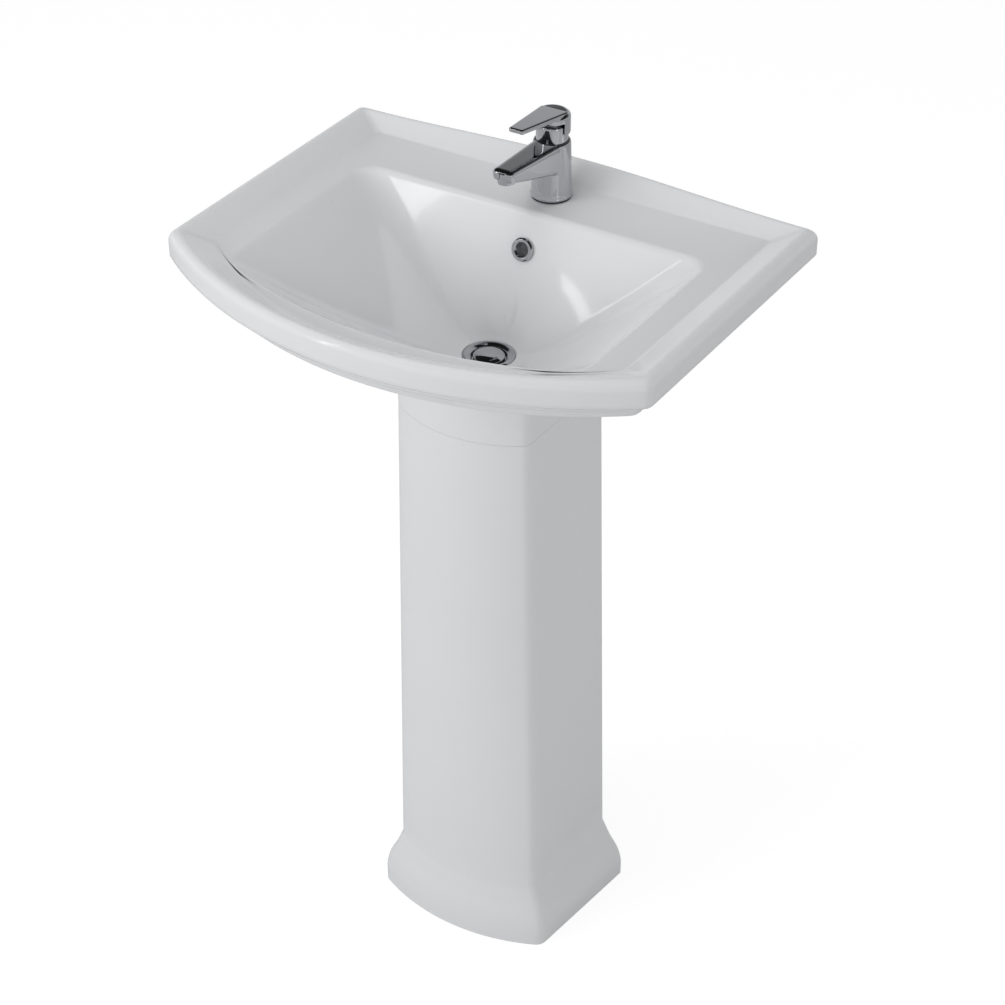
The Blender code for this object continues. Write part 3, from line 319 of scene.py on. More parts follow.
def makeFinish(name, light, dark, roughness, spread, metallic=0.0, scale=20.0, fine=0.3, bump=0.0,
               bumpScale=60.0, coat=0.0, coatRoughness=0.03, ior=1.5, specks=0.0, speckScale=120.0,
               speckRarity=0.85, brushed=None):
    # colour, sheen and relief all drift a little over the surface
    finish = bpy.data.materials.new(name)
    finish.use_nodes = True
    tree = finish.node_tree
    nodes, links = tree.nodes, tree.links
    shader = nodes["Principled BSDF"]
    shader.inputs["Metallic"].default_value = metallic
    shader.inputs["IOR"].default_value = ior
    shader.inputs["Coat Weight"].default_value = coat
    shader.inputs["Coat Roughness"].default_value = coatRoughness
    place = nodes.new("ShaderNodeTexCoord")
    vector = place.outputs["Object"]
    if brushed:
        stretch = nodes.new("ShaderNodeMapping")
        stretch.inputs["Scale"].default_value = brushed
        links.new(vector, stretch.inputs["Vector"])
        vector = stretch.outputs["Vector"]
    drift = placeGroup(tree, unevenSurface, vector, scale=scale, fine=fine)
    tint = nodes.new("ShaderNodeMix")
    tint.data_type = "RGBA"
    tint.inputs[6].default_value = (*dark, 1)
    tint.inputs[7].default_value = (*light, 1)
    links.new(drift.outputs["Value"], tint.inputs[0])
    colour = tint.outputs[2]
    if specks:
        dots = placeGroup(tree, scatteredSpecks, vector, scale=speckScale, size=0.10, rarity=speckRarity)
        weaken = nodes.new("ShaderNodeMath")
        weaken.operation = "MULTIPLY"
        weaken.inputs[1].default_value = specks
        links.new(dots.outputs["Mask"], weaken.inputs[0])
        spotted = nodes.new("ShaderNodeMix")
        spotted.data_type = "RGBA"
        spotted.inputs[7].default_value = (*[c * 0.55 for c in dark], 1)
        links.new(weaken.outputs[0], spotted.inputs[0])
        links.new(colour, spotted.inputs[6])
        colour = spotted.outputs[2]
    links.new(colour, shader.inputs["Base Color"])
    sheen = nodes.new("ShaderNodeMapRange")
    sheen.inputs["To Min"].default_value = roughness - spread
    sheen.inputs["To Max"].default_value = roughness + spread
    sheenDrift = placeGroup(tree, unevenSurface, vector, scale=scale * 1.7, fine=fine)
    links.new(sheenDrift.outputs["Value"], sheen.inputs["Value"])
    links.new(sheen.outputs["Result"], shader.inputs["Roughness"])
    if bump:
        relief = placeGroup(tree, unevenSurface, vector, scale=bumpScale, fine=0.15)
        raised = nodes.new("ShaderNodeBump")
        raised.inputs["Strength"].default_value = 1.0
        raised.inputs["Distance"].default_value = bump
        links.new(relief.outputs["Value"], raised.inputs["Height"])
        links.new(raised.outputs["Normal"], shader.inputs["Normal"])
    return finish


finishes = {
    "china_white": makeFinish("glazedChina", (0.83, 0.835, 0.845), (0.80, 0.808, 0.82), 0.10, 0.025, scale=9,
                              fine=0.1, bump=0.00010, bumpScale=26, coat=0.35, coatRoughness=0.03,
                              specks=0.08, speckScale=55, speckRarity=0.95),
    "chrome": makeFinish("polishedChrome", (0.60, 0.61, 0.63), (0.55, 0.56, 0.58), 0.05, 0.02, metallic=1,
                         scale=60, fine=0.5, bump=0.000006, bumpScale=300),
    "brass": makeFinish("turnedBrass", (0.80, 0.62, 0.30), (0.62, 0.45, 0.19), 0.30, 0.08, metallic=1,
                        scale=90, fine=0.5, bump=0.00003, bumpScale=700, brushed=(1, 1, 6)),
    "steel": makeFinish("zincPlate", (0.68, 0.69, 0.70), (0.50, 0.51, 0.53), 0.34, 0.09, metallic=1,
                        scale=120, fine=0.6, bump=0.00002, bumpScale=900),
    "black_rubber": makeFinish("sealRubber", (0.045, 0.045, 0.047), (0.022, 0.022, 0.024), 0.72, 0.10,
                               scale=150, fine=0.6, bump=0.00008, bumpScale=900),
    "white_plastic": makeFinish("mouldedPlastic", (0.84, 0.84, 0.82), (0.77, 0.77, 0.75), 0.38, 0.07,
                                scale=80, fine=0.4, bump=0.00003, bumpScale=500),
    "cartridge_plastic": makeFinish("cartridgePlastic", (0.72, 0.73, 0.69), (0.62, 0.63, 0.60), 0.42, 0.07,
                                    scale=90, fine=0.5, bump=0.00003, bumpScale=500),
    "indicator_red": makeFinish("redPlug", (0.66, 0.05, 0.04), (0.50, 0.03, 0.03), 0.28, 0.06, scale=200,
                                fine=0.4, bump=0.00002, bumpScale=900),
}
print("materials made")


def finishPiece(thing, body, slotName, nodes, angle=32):
    applyPlace(thing)
    thing.data.materials.clear()
    thing.data.materials.append(finishes[slotName])
    smoothShade(thing, angle)
    if nodes:
        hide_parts(*nodes)
    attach(thing, body)
    return thing


def middle(node):
    low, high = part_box(node)
    return (low + high) / 2


# Basin

basinShape = {
    "width": 0.570,
    "depth": 0.445,
    "crest": 0.902,
    "frontBow": 0.094,
    "narrowing": 0.004,
    "backRise": 0.011,
    "sideRim": 0.044,
    "backRim": 0.028,
    "frontRim": 0.033,
    "ledgeDrop": 0.0136,
    "sideLedge": 0.034,
    "backLedge": 0.0735,
    "frontLedge": 0.021,
    "bowlDepth": 0.132,
    "bowlCurve": 1.15,
    "bottomRound": 0.004,
    "rimCorner": 0.007,
    "bowlCornerBack": 0.030,
    "bowlCornerFront": 0.022,
    "wall": 0.012,
    "lipHeight": 0.029,
    "mouldingDrop": 0.024,
    "mouldingInset": 0.024,
    "boss": 0.030,
    "seat": 0.700,
    "overflowDrop": 0.038,
    "crestShare": 0.24,
    "rollHeight": 0.0110,
}
b = basinShape
wallY = b["depth"] / 2
frontY = -b["depth"] / 2
ledgeZ = b["crest"] - b["ledgeDrop"]
lipZ = b["crest"] - b["lipHeight"]
underZ = lipZ - b["mouldingDrop"]
wasteZ = ledgeZ - b["bowlDepth"]
bowlBackY = wallY - b["backRim"] - b["backLedge"]
wasteAxis = middle("waste_body")
tapAxis = middle("cartridge_cover")
flangeRadius = (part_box("waste_body")[1].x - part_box("waste_body")[0].x) / 2
outlineSteps = {"back": 24, "corner": 7, "side": 20, "bow": 34}


def bowedOutline(backHalf, frontHalf, back, cornerY, front, backRadius, frontRadius):
    sag = cornerY - front
    radius = (frontHalf ** 2 + sag ** 2) / (2 * sag)
    sweep = math.asin(frontHalf / radius)

    def bow(share):
        return (radius * math.sin(sweep * share), front + radius * (1 - math.cos(sweep * share)))

    run = back - cornerY
    start = (backHalf - (backHalf - frontHalf) * backRadius / run, back - backRadius)
    stop = (frontHalf + (backHalf - frontHalf) * frontRadius / run, cornerY + frontRadius)
    trim = 1 - frontRadius / (radius * sweep)
    n = outlineSteps
    half = [((backHalf - backRadius) * i / n["back"], back) for i in range(n["back"] + 1)]
    half += corner(half[-1], (backHalf, back), start, n["corner"])
    half += [along(start, stop, i / n["side"]) for i in range(1, n["side"] + 1)]
    half += corner(stop, (frontHalf, cornerY), bow(trim), n["corner"])
    half += [bow(trim * (1 - i / n["bow"])) for i in range(1, n["bow"] + 1)]
    return half + [(-x, y) for x, y in reversed(half[1:-1])]


def rimOutline(side, back, front):
    cornerY = frontY + b["frontBow"]
    return bowedOutline(b["width"] / 2 - side, b["width"] / 2 - b["narrowing"] - side, wallY - back,
                        cornerY + front * 0.75, frontY + front, b["rimCorner"], b["rimCorner"])


def rimShare(share):
    return rimOutline(b["sideRim"] * share, b["backRim"] * share, b["frontRim"] * share)


def bowlOutline(spread=0.0):
    half = b["width"] / 2 - b["sideRim"] - b["sideLedge"] + spread
    front = frontY + b["frontRim"] + b["frontLedge"] - spread
    return bowedOutline(half, half - 0.003, bowlBackY + spread, front + 0.046, front,
                        b["bowlCornerBack"], b["bowlCornerFront"])


def wasteCircle(outline, radius):
    made = []
    for x, y in outline:
        angle = math.atan2(y - wasteAxis.y, x)
        made.append((radius * math.cos(angle), wasteAxis.y + radius * math.sin(angle)))
    return made


def bowlFall(share):
    # straight walls that round into the bottom
    left, soft = (1 - share) ** b["bowlCurve"], b["bottomRound"] / b["bowlDepth"]
    return 1 - (math.hypot(left, soft) - soft) / (math.hypot(1, soft) - soft)


def level(outline, height):
    return [(x, y, height) for x, y in outline]


def archedLevel(outline, height, rise):
    made = []
    for x, y in outline:
        nearWall = max(0.0, (y - (wallY - b["backRim"])) / b["backRim"])
        arch = 0.5 + 0.5 * math.cos(math.pi * min(1.0, abs(x) / (b["width"] / 2)))
        made.append((x, y, height + rise * arch * nearWall))
    return made


def slopeFall(u):
    # an even slope, eased in from the crest and out on to the ledge
    easeIn, easeOut = 0.15, 0.12
    steep = 1 / (1 - easeIn / 2 - easeOut / 2)
    if u < easeIn:
        return steep * u * u / (2 * easeIn)
    if u > 1 - easeOut:
        return 1 - steep * (1 - u) ** 2 / (2 * easeOut)
    return steep * (u - easeIn / 2)


def basinRings():
    rings = []
    # mouldings under the lip: a band, a cove, a second band and the lip's underside
    moulding = [(1.0, 0.0), (0.95, 0.06), (0.92, 0.36), (0.86, 0.42), (0.66, 0.46), (0.58, 0.52),
                (0.54, 0.62), (0.50, 0.86), (0.44, 0.93), (0.14, 0.97), (0.06, 1.0)]
    for inset, height in moulding:
        taken = b["mouldingInset"] * inset
        rings.append(level(rimOutline(taken, 0.0, taken), underZ + b["mouldingDrop"] * height))
    # lip, rolled crest and the slope down to the ledge
    rings.append(level(rimShare(0.0), lipZ + 0.0022))
    for i in range(3):
        height = lipZ + 0.006 + (b["crest"] - b["rollHeight"] - lipZ - 0.006) * i / 2
        rings.append(archedLevel(rimShare(0.0), height, b["backRise"] * 0.4 * i / 2))
    for i in range(1, 13):
        angle = math.pi / 2 * i / 12
        share = b["crestShare"] * (1 - math.cos(angle))
        height = b["crest"] - b["rollHeight"] * (1 - math.sin(angle))
        rings.append(archedLevel(rimShare(share), height, b["backRise"] * min(1.0, 0.4 + 0.15 * i)))
    for i in range(1, 17):
        share = b["crestShare"] + (1 - b["crestShare"]) * i / 16
        height = b["crest"] - b["ledgeDrop"] * slopeFall(i / 16)
        rings.append(archedLevel(rimShare(share), height, b["backRise"]))
    # ledge, its rounded edge, and the bowl
    for i in range(7):
        u = i / 6
        rings.append(level(bowlOutline(0.0075 * (1 - u)), ledgeZ - 0.0034 * u ** 2.2))
    edge = bowlOutline()
    hole = wasteCircle(edge, flangeRadius + 0.0006)
    for i in range(1, 31):
        share = (i / 30) ** 1.35
        plan = [along(p, q, share) for p, q in zip(edge, hole)]
        rings.append(level(plan, ledgeZ - 0.0034 - (b["bowlDepth"] - 0.0034) * bowlFall(share)))
    # seat of the flange, the waste hole and the boss round it
    bore = wasteAxis.x + (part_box("waste_backnut")[1].x - 0.0043)
    low = wasteZ - b["boss"]
    rings.append(level(hole, wasteZ - 0.0016))
    rings.append(level(wasteCircle(edge, bore), wasteZ - 0.0016))
    rings.append(level(wasteCircle(edge, bore), low))
    bossRing = wasteCircle(edge, flangeRadius + 0.010)
    rings.append(level(bossRing, low))
    # underside of the bowl, out and up to the mouldings
    outer = bowlOutline(b["wall"])
    for share in (1.0, 0.88, 0.76, 0.63, 0.50, 0.38, 0.28, 0.20, 0.14):
        plan = [along(p, q, share) for p, q in zip(outer, bossRing)]
        fall = b["bowlDepth"] * bowlFall(share) + b["wall"] * (0.5 + 0.5 * share)
        rings.append(level(plan, ledgeZ - fall))
    return rings + [rings[0]]


def overflowPlace():
    share = 1 - (1 - b["overflowDrop"] / b["bowlDepth"]) ** (1 / b["bowlCurve"])
    back = bowlBackY + (wasteAxis.y + flangeRadius - bowlBackY) * share
    run = (bowlBackY - wasteAxis.y - flangeRadius) * 0.02
    fall = b["bowlDepth"] * (bowlFall(share + 0.02) - bowlFall(share))
    return Vector((0, back, ledgeZ - b["overflowDrop"])), Vector((0, -fall, run)).normalized()


# Pedestal

pedestalShape = {
    "topHalf": 0.0820,
    "footHalf": 0.0940,
    "topSplay": 0.003,
    "footSplay": 0.010,
    "front": -0.041,
    "bow": 0.027,
    "back": 0.133,
    "wall": 0.011,
    "plinthHeight": 0.078,
    "plinthFlare": 0.018,
    "plinthFrontFlare": 0.011,
    "plinthSplay": 0.010,
    "cornerRadius": 0.008,
}
p = pedestalShape
pedestalTop = b["seat"] - 0.0003


def uPoints(half, backHalf, front, bow, back, radius):
    cornerY = front + bow
    arc = (half ** 2 + bow ** 2) / (2 * bow)
    sweep = math.asin(half / arc)
    side = Vector((half - backHalf, cornerY - back)).normalized()
    start = (half - side.x * radius, cornerY - side.y * radius)
    trim = 1 - radius / (arc * sweep)

    def bowPoint(share):
        return (arc * math.sin(sweep * share), front + arc * (1 - math.cos(sweep * share)))

    points = [along((backHalf, back), start, i / 12) for i in range(13)]
    points += corner(start, (half, cornerY), bowPoint(trim), 7)
    points += [bowPoint(trim * (1 - i / 20)) for i in range(1, 21)]
    return points + [(-x, y) for x, y in reversed(points[:-1])]


def plinthShare(height):
    # 0 on the shaft, 1 on the upright band: a short cove, a faint bead, then a roll
    down = min(1.0, max(0.0, 1 - height / p["plinthHeight"]) / 0.75)
    roll = 0.5 * math.sin(math.pi / 2 * down) + 0.25 * (1 - math.cos(math.pi * down))
    return roll + 0.02 * math.sin(2 * math.tau * down) * math.sin(math.pi * down)


def pedestalSection(height):
    rise = min(1.0, max(0.0, (height - p["plinthHeight"]) / (pedestalTop - p["plinthHeight"])))
    half = p["footHalf"] + (p["topHalf"] - p["footHalf"]) * rise
    splay = p["footSplay"] + (p["topSplay"] - p["footSplay"]) * rise
    flare = plinthShare(height)
    foot = half + p["plinthFlare"] * flare
    outer = uPoints(foot, foot + splay + p["plinthSplay"] * flare,
                    p["front"] - p["plinthFrontFlare"] * flare, p["bow"], p["back"], p["cornerRadius"])
    innerHalf = half - p["wall"]
    inner = uPoints(innerHalf, innerHalf + splay, p["front"] + p["wall"], p["bow"] * 0.9, p["back"], 0.006)
    return outer + list(reversed(inner))


def skirtTop():
    # the skirt's wall ends inside the china of the sloping bowl
    side = b["width"] / 2 - b["sideRim"] - b["sideLedge"]
    front = frontY + b["frontRim"] + b["frontLedge"]
    sideShare = (side - p["topHalf"] + p["wall"]) / (side - flangeRadius)
    frontShare = (p["front"] + p["wall"] - front) / (wasteAxis.y - flangeRadius - front)
    return ledgeZ - b["bowlDepth"] * bowlFall(max(sideShare, frontShare)) - b["wall"] * 0.25


def makeBasin():
    basin = extrudeRings("basinChina", basinRings())
    pocket = boxTool((-0.207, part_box("clamp_rubber")[0].y - 0.0011, ledgeZ - 0.212),
                     (0.207, wallY - b["wall"], ledgeZ - b["wall"]))
    carve(basin, pocket)
    skirt = extrudeRings("skirt", [level(pedestalSection(pedestalTop), height)
                                   for height in (b["seat"], (b["seat"] + skirtTop()) / 2, skirtTop())],
                         startCap="flat", endCap="flat")
    carve(basin, skirt, "UNION")
    # overflow channel, in a rib down the back of the bowl
    mouth, out = overflowPlace()
    behind = mouth - out * 0.0175
    low = Vector((0, (wasteAxis.y + bowlBackY) / 2 + b["wall"], wasteZ + b["bowlDepth"] * 0.16))
    knee = Vector((0, wasteAxis.y + flangeRadius + 0.016, wasteZ - b["boss"] * 0.52 + 0.004))
    end = Vector((0, wasteAxis.y + 0.0145, wasteZ - b["boss"] * 0.52))
    carve(basin, pipeTool([behind + Vector((0, 0, 0.015)), behind, low, knee], 0.0125), "UNION")
    cleanMesh(basin)
    carve(basin, pipeTool([behind + Vector((0, 0, 0.004)), low, knee, end], 0.0055))
    cleanMesh(basin)
    carve(basin, rodTool(0.0088, mouth + out * 0.0125, mouth - out * 0.0221, 40))
    cleanMesh(basin)
    carve(basin, rodTool(0.0175, (0, tapAxis.y, ledgeZ + 0.02), (0, tapAxis.y, ledgeZ - 0.04)))
    for hand in ("left", "right"):
        centre = middle("wall_bolt_" + hand)
        carve(basin, rodTool(0.0070, (centre.x, wallY + 0.02, centre.z), (centre.x, wallY - 0.03, centre.z)))
    return finishPiece(basin, "sink", "china_white", ["basin"], 40)


def makePedestal():
    steps = [0.0, 0.004, 0.016] + [p["plinthHeight"] * (0.28 + 0.72 * i / 26) for i in range(27)]
    shaftHeight = pedestalTop - p["plinthHeight"]
    steps += [p["plinthHeight"] + shaftHeight * share for share in (0.04, 0.3, 0.6, 1.0)]
    rings = [level(pedestalSection(height), height) for height in steps]
    pedestal = extrudeRings("pedestalChina", rings, startCap="flat", endCap="flat")
    for hand, side in (("left", -1), ("right", 1)):
        low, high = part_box("floor_washer_" + hand)
        centre = (low + high) / 2
        inner = abs(centre.x) - 0.013
        outer = p["footHalf"] - p["wall"] + 0.006
        lug = boxTool((min(side * inner, side * outer), centre.y - 0.013, 0.0),
                      (max(side * inner, side * outer), centre.y + 0.013, 0.012))
        carve(pedestal, lug, "UNION")
        carve(pedestal, rodTool(0.0038, (centre.x, centre.y, -0.01), (centre.x, centre.y, 0.02), 24))
    return finishPiece(pedestal, "sink", "china_white", ["pedestal"], 40)


makePedestal()
print("pedestal made")
makeBasin()
print("basin made")


# Tap

tapShape = {
    "radius": 0.0217,
    "topRadius": 0.0199,
    "height": 0.0660,
    "spoutReach": 0.091,
    "spoutRoot": (0.030, 0.0655),
    "spoutTip": (0.058, 0.0710),
    "spoutRootHalf": 0.0172,
    "spoutTipHalf": 0.0125,
    "spoutEdge": 0.0052,
}
t = tapShape


def tapPoint(right, forward, up):
    return Vector((right, tapAxis.y - forward, ledgeZ + up))


def taperedBlock(corners, edge, segments):
    # corners gives (half width, forward, low, high) at the root and at the tip
    deselectAll()
    bpy.ops.mesh.primitive_cube_add(size=1, location=(0, 0, 0))
    block = bpy.context.object
    for vert in block.data.vertices:
        half, forward, low, high = corners[1] if vert.co.y < 0 else corners[0]
        vert.co = tapPoint(math.copysign(half, vert.co.x), forward, high if vert.co.z > 0 else low)
    addModifier(block, "BEVEL", width=edge, segments=segments, limit_method="NONE")
    return block


def makeTapBody():
    base = 0.0021
    barrel = turnPiece("barrel", softened([
        (0.0, base), (t["radius"] + 0.0010, base), (t["radius"] + 0.0010, base + 0.0030),
        (t["radius"], base + 0.0060), (t["radius"], base + 0.0100), (t["topRadius"], t["height"]),
        (0.0, t["height"])], 0.0022, 5), (0, tapAxis.y, ledgeZ), steps=96)
    tip = t["spoutReach"] + 0.0095
    spout = taperedBlock([(t["spoutRootHalf"], 0.004, *t["spoutRoot"]),
                          (t["spoutTipHalf"], tip, *t["spoutTip"])], t["spoutEdge"], 6)
    body = fuse("tapBody", [barrel, spout], 0.0007, 10)
    carve(body, rodTool(0.0098, tapPoint(0, t["spoutReach"], 0.040), tapPoint(0, t["spoutReach"], 0.068), 64))
    # hollow for the cartridge, and sockets for the stud and the two inlets
    carve(body, rodTool(0.0156, tapPoint(0, 0, t["height"] - 0.0415), tapPoint(0, 0, t["height"] + 0.01), 64))
    carve(body, rodTool(0.0043, tapPoint(0, -0.0095, -0.01), tapPoint(0, -0.0095, 0.014), 24))
    for right in (-0.0068, 0.0068):
        carve(body, rodTool(0.0053, tapPoint(right, 0.004, -0.01), tapPoint(right, 0.004, 0.014), 24))
    return finishPiece(body, "sink", "chrome", ["tap_body"], 40)


leverShape = {
    "pivotHeight": 0.0665,
    "inner": 0.0181,
    "outer": 0.0193,
    "mouth": 0.0222,
    "hoodLow": 0.0085,
    "cheek": 0.0055,
    "plate": 0.0247,
    "top": 0.0315,
    "reach": 0.0735,
}
v = leverShape


def makeHood():
    # the deep back of the cap: a strip swept round the cover, from cheek to cheek
    inner, outer = v["inner"], v["outer"]
    low, high = v["pivotHeight"] + v["hoodLow"], v["pivotHeight"] + v["plate"] + 0.002
    strip = softened([(outer, high), (outer, low), (inner, low), (inner, high)], 0.0005, 2, closed=True)
    overhang = math.asin(v["cheek"] / outer)
    rings = []
    for i in range(61):
        angle = -overhang + (math.pi + 2 * overhang) * i / 60
        rings.append([tapPoint(r * math.cos(angle), -r * math.sin(angle), h) for r, h in strip])
    return extrudeRings("hood", rings, startCap="flat", endCap="flat")


def plugSeat():
    low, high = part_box("indicator_plug")
    return Vector((0, low.y, (low.z + high.z) / 2 - 0.0010))


def makeIndicator():
    low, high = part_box("indicator_plug")
    depth = high.y - low.y
    plug = turnPiece("indicatorPlug", softened([
        (0.0, 0.0), (0.0020, 0.0), (0.0020, depth - 0.0004), (0.0, depth - 0.0002)], 0.0003, 3),
        plugSeat(), Vector((0, 1, 0)), steps=32)
    finishPiece(plug, "lever", "indicator_red", ["indicator_plug"])


def makeLever():
    up = v["pivotHeight"]
    cap = turnPiece("cap", softened([
        (0.0, up + v["plate"]), (v["inner"], up + v["plate"]), (v["inner"], up + v["mouth"]),
        (v["outer"], up + v["mouth"]), (v["outer"], up + v["top"] - 0.0035),
        (v["outer"] - 0.0040, up + v["top"] - 0.0002), (0.0, up + v["top"])], 0.0016, 4),
        (0, tapAxis.y, ledgeZ), steps=96)
    tongue = taperedBlock([(0.0170, -0.006, up + v["plate"] + 0.0004, up + v["top"] - 0.0002),
                           (0.0085, v["reach"], up + v["plate"] + 0.0100, up + v["top"] + 0.0085)], 0.0021, 4)
    lever = fuse("leverHandle", [cap, makeHood(), tongue], 0.00042, 4)
    # grub screw's hole, and the seat of the coloured plug that covers it
    seat = plugSeat()
    carve(lever, rodTool(0.0022, seat - Vector((0, 0.0003, 0)), seat + Vector((0, 0.02, 0)), 32))
    screw = Vector((0, tapAxis.y, middle("indicator_plug").z))
    carve(lever, rodTool(0.0021, screw, screw + Vector((0, seat.y - tapAxis.y, 0)), 24))
    plate = up + v["plate"]
    carve(lever, rodTool(0.0035, tapPoint(0, 0, plate - 0.002), tapPoint(0, 0, plate + 0.0040)))
    return finishPiece(lever, "lever", "chrome", ["lever"], 40)


def makeCover():
    low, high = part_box("cartridge_cover")
    radius = (high.x - low.x) / 2 - 0.0002
    top, inner, mouth = high.z, radius - 0.0013, radius - 0.0043
    cover = turnPiece("cartridgeSleeve", softened([
        (mouth, top), (radius - 0.0020, top - 0.0016), (radius - 0.0004, top - 0.0032),
        (radius, top - 0.0050), (radius, low.z), (inner, low.z), (inner, top - 0.0056),
        (inner - 0.0010, top - 0.0040),
        (mouth, top - 0.0018)], 0.0007, 4, closed=True), (0, tapAxis.y, 0), steps=96, closed=True)
    return finishPiece(cover, "sink", "chrome", ["cartridge_cover"])


def makeAerator():
    low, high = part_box("aerator_housing")
    centre = (low + high) / 2
    radius = (high.x - low.x) / 2
    housing = turnPiece("aeratorRing", softened([
        (radius, high.z), (radius, low.z), (radius - 0.0018, low.z), (radius - 0.0018, high.z)], 0.0005, 4,
        closed=True), (0, centre.y, 0), closed=True)
    finishPiece(housing, "sink", "chrome", ["aerator_housing"])


makeTapBody()
makeLever()
makeIndicator()
makeCover()
makeAerator()
print("tap made")


# Overflow ring and waste

def makeOverflowRing():
    mouth, out = overflowPlace()
    radius = 0.0128
    ring = turnPiece("overflowTrim", softened([
        (0.0072, -0.0100), (0.0072, 0.0018), (0.0084, 0.0030), (radius - 0.0016, 0.0030), (radius, 0.0016),
        (radius, 0.0006), (0.0086, 0.0006), (0.0086, -0.0100)], 0.0006, 4, closed=True),
        mouth, out, closed=True)
    finishPiece(ring, "sink", "chrome", ["overflow_ring"])


def makeWaste():
    low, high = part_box("waste_body")
    rim = high.z
    radius = flangeRadius
    plugLow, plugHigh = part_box("plug_cap")
    plugRadius = (plugHigh.x - plugLow.x) / 2
    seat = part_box("plug_seal")[0].z - 0.0003
    bore = 0.0165
    thread = 0.0205
    body = turnPiece("wasteFlange", softened([
        (radius - 0.0030, rim), (radius - 0.0006, rim - 0.0009), (radius, rim - 0.0022),
        (radius, rim - 0.0026), (thread, rim - 0.0026), (thread, low.z), (bore, low.z), (bore, seat - 0.0003),
        (plugRadius + 0.0010, seat - 0.0003), (plugRadius + 0.0022, rim - 0.0024),
        (radius - 0.0050, rim - 0.0004)],
        0.0007, 4, closed=True), (0, wasteAxis.y, 0), closed=True, steps=96)
    slots = boxTool((-0.006, wasteAxis.y - 0.05, wasteZ - 0.0206),
                    (0.006, wasteAxis.y + 0.05, wasteZ - 0.0106))
    carve(body, slots)
    finishPiece(body, "sink", "chrome", ["waste_body"])
    cap = turnPiece("plugDome", softened([
        (0.0, plugHigh.z), (plugRadius * 0.45, plugHigh.z - 0.0004), (plugRadius * 0.80, plugHigh.z - 0.0018),
        (plugRadius - 0.0006, plugHigh.z - 0.0036), (plugRadius, plugLow.z + 0.0012),
        (plugRadius - 0.0004, plugLow.z), (0.0, plugLow.z)], 0.004, 5), (0, wasteAxis.y, 0), steps=96)
    finishPiece(cap, "plug", "chrome", ["plug_cap"])


makeOverflowRing()
makeWaste()
print("waste made")


# Finishes for the pieces that keep their own shape

slotOf = {part["node"]: part["material_slot"] for part in frame["record"]["subparts"]}
for node, thing in frame["nodes"].items():
    thing.data.materials.clear()
    thing.data.materials.append(finishes[slotOf[node]])


# Stage, light and camera

def makeStage():
    deselectAll()
    bpy.ops.mesh.primitive_plane_add(size=30, location=(0, 0, 0))
    floor = renamed(bpy.context.object, "studioFloor")
    paper = bpy.data.materials.new("studioPaper")
    paper.use_nodes = True
    nodes, links = paper.node_tree.nodes, paper.node_tree.links
    base = nodes["Principled BSDF"]
    base.inputs["Roughness"].default_value = 0.9
    base.inputs["Specular IOR Level"].default_value = 0.1
    base.inputs["Base Color"].default_value = (0.80, 0.80, 0.80, 1)
    # the camera sees the sweep as near white with a faint contact shadow
    shown = nodes.new("ShaderNodeBsdfPrincipled")
    shown.inputs["Roughness"].default_value = 0.9
    shown.inputs["Specular IOR Level"].default_value = 0.0
    shown.inputs["Base Color"].default_value = (0.25, 0.25, 0.25, 1)
    shown.inputs["Emission Color"].default_value = (1, 1, 1, 1)
    shown.inputs["Emission Strength"].default_value = 0.86
    seen = nodes.new("ShaderNodeLightPath")
    choose = nodes.new("ShaderNodeMixShader")
    links.new(seen.outputs["Is Camera Ray"], choose.inputs[0])
    links.new(base.outputs[0], choose.inputs[1])
    links.new(shown.outputs[0], choose.inputs[2])
    links.new(choose.outputs[0], nodes["Material Output"].inputs["Surface"])
    floor.data.materials.append(paper)


def addSoftLight(name, place, aim, size, power, glossy=True, diffuse=True):
    light = bpy.data.lights.new(name, "AREA")
    light.shape = "RECTANGLE"
    light.size, light.size_y = size
    light.energy = power
    holder = bpy.data.objects.new(name, light)
    holder.location = place
    holder.rotation_euler = (Vector(aim) - Vector(place)).to_track_quat("-Z", "Y").to_euler()
    holder.visible_glossy = glossy
    holder.visible_diffuse = diffuse
    bpy.context.scene.collection.objects.link(holder)


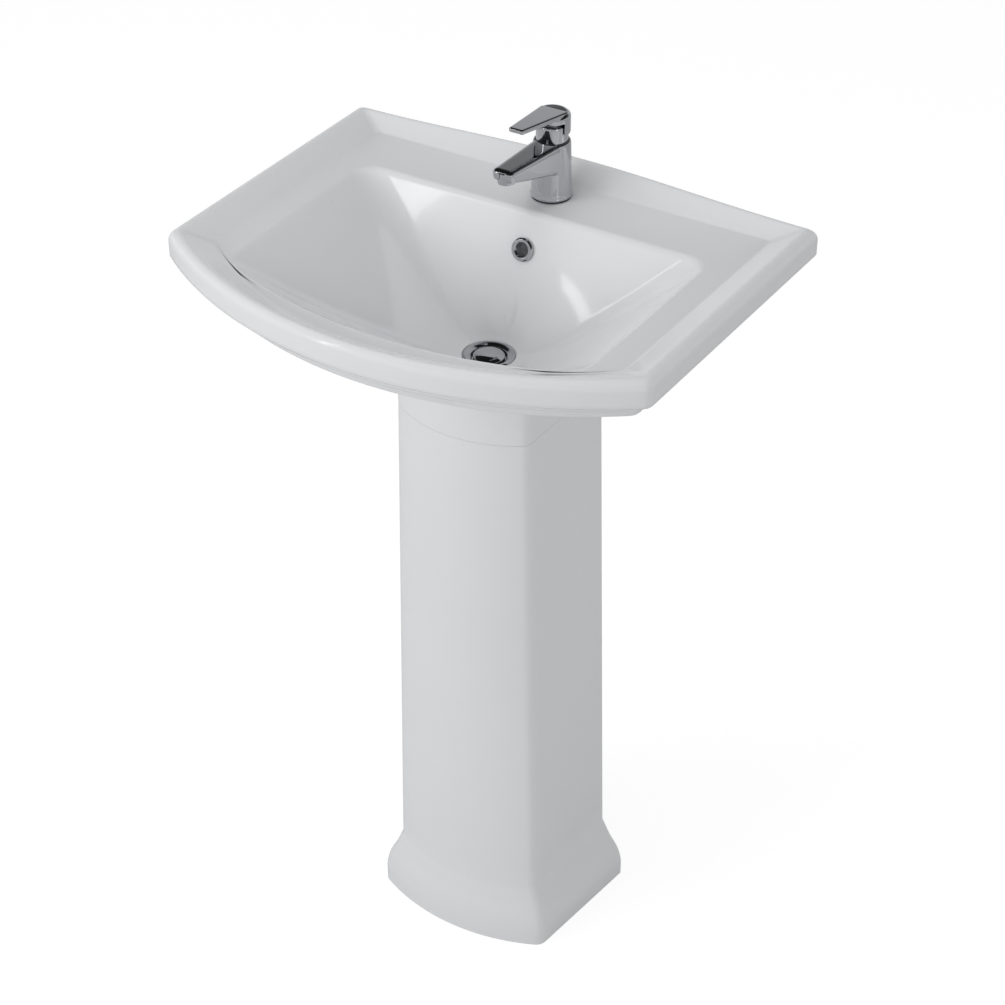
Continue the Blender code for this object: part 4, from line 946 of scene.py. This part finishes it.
def makeWorld():
    world = bpy.data.worlds.new("studioRoom")
    world.use_nodes = True
    bpy.context.scene.world = world
    nodes, links = world.node_tree.nodes, world.node_tree.links
    back = nodes["Background"]
    place = nodes.new("ShaderNodeTexCoord")
    split = nodes.new("ShaderNodeSeparateXYZ")
    links.new(place.outputs["Generated"], split.inputs[0])
    upward = nodes.new("ShaderNodeMapRange")
    upward.inputs["From Min"].default_value = -1.0
    links.new(split.outputs["Z"], upward.inputs["Value"])

    def shade(stops):
        ramp = nodes.new("ShaderNodeValToRGB")
        while len(ramp.color_ramp.elements) < len(stops):
            ramp.color_ramp.elements.new(0.5)
        for element, (position, level) in zip(ramp.color_ramp.elements, stops):
            element.position = position
            element.color = (level * 0.985, level * 0.992, level, 1)
        links.new(upward.outputs[0], ramp.inputs[0])
        return ramp.outputs[0]

    # soft light mostly from the sides; polished metal sees a dark ceiling
    lit = shade([(0.0, 0.92), (0.6, 0.92), (0.75, 0.38), (1.0, 0.38)])
    mirrored = shade([(0.0, 0.40), (0.49, 0.60), (0.61, 0.52), (0.71, 0.10), (0.80, 0.02), (1.0, 0.01)])
    seen = nodes.new("ShaderNodeLightPath")
    gloss = nodes.new("ShaderNodeMix")
    gloss.data_type = "RGBA"
    links.new(seen.outputs["Is Glossy Ray"], gloss.inputs[0])
    links.new(lit, gloss.inputs[6])
    links.new(mirrored, gloss.inputs[7])
    white = nodes.new("ShaderNodeMix")
    white.data_type = "RGBA"
    white.inputs[7].default_value = (1, 1, 1, 1)
    links.new(seen.outputs["Is Camera Ray"], white.inputs[0])
    links.new(gloss.outputs[2], white.inputs[6])
    links.new(white.outputs[2], back.inputs["Color"])
    back.inputs["Strength"].default_value = 1.0


cameraView = {
    "azimuth": 31.72,
    "elevation": 34.82,
    "target": (-0.0277, 0.1125, 0.5141),
    "distance": 2.6207,
    "lens": 82.39,
}


def makeCamera():
    a, e = math.radians(cameraView["azimuth"]), math.radians(cameraView["elevation"])
    back = Vector((math.sin(a) * math.cos(e), -math.cos(a) * math.cos(e), math.sin(e)))
    data = bpy.data.cameras.new("view")
    data.lens = cameraView["lens"]
    data.sensor_width = 36
    camera = bpy.data.objects.new("view", data)
    camera.location = Vector(cameraView["target"]) + back * cameraView["distance"]
    camera.rotation_euler = (-back).to_track_quat("-Z", "Y").to_euler()
    bpy.context.scene.collection.objects.link(camera)
    bpy.context.scene.camera = camera


makeStage()
makeWorld()
addSoftLight("keyLight", (-1.6, -2.4, 1.9), (0, 0, 0.75), (1.6, 1.3), 28, glossy=False)
addSoftLight("fillLight", (2.4, -1.2, 1.5), (0, 0, 0.5), (1.5, 2.0), 3.5, glossy=False)
addSoftLight("topLight", (-0.2, -0.3, 3.2), (0, 0, 0.6), (1.6, 1.6), 14.5, glossy=False)
addSoftLight("leftStrip", (-1.5, -2.2, 1.7), (0, 0, 0.7), (0.14, 1.3), 2.2, diffuse=False)
addSoftLight("rightStrip", (2.3, -1.0, 1.3), (0, 0, 0.6), (0.16, 1.2), 1.4, diffuse=False)
makeCamera()
bpy.context.scene.view_settings.view_transform = "Standard"
print("stage, light and camera made")
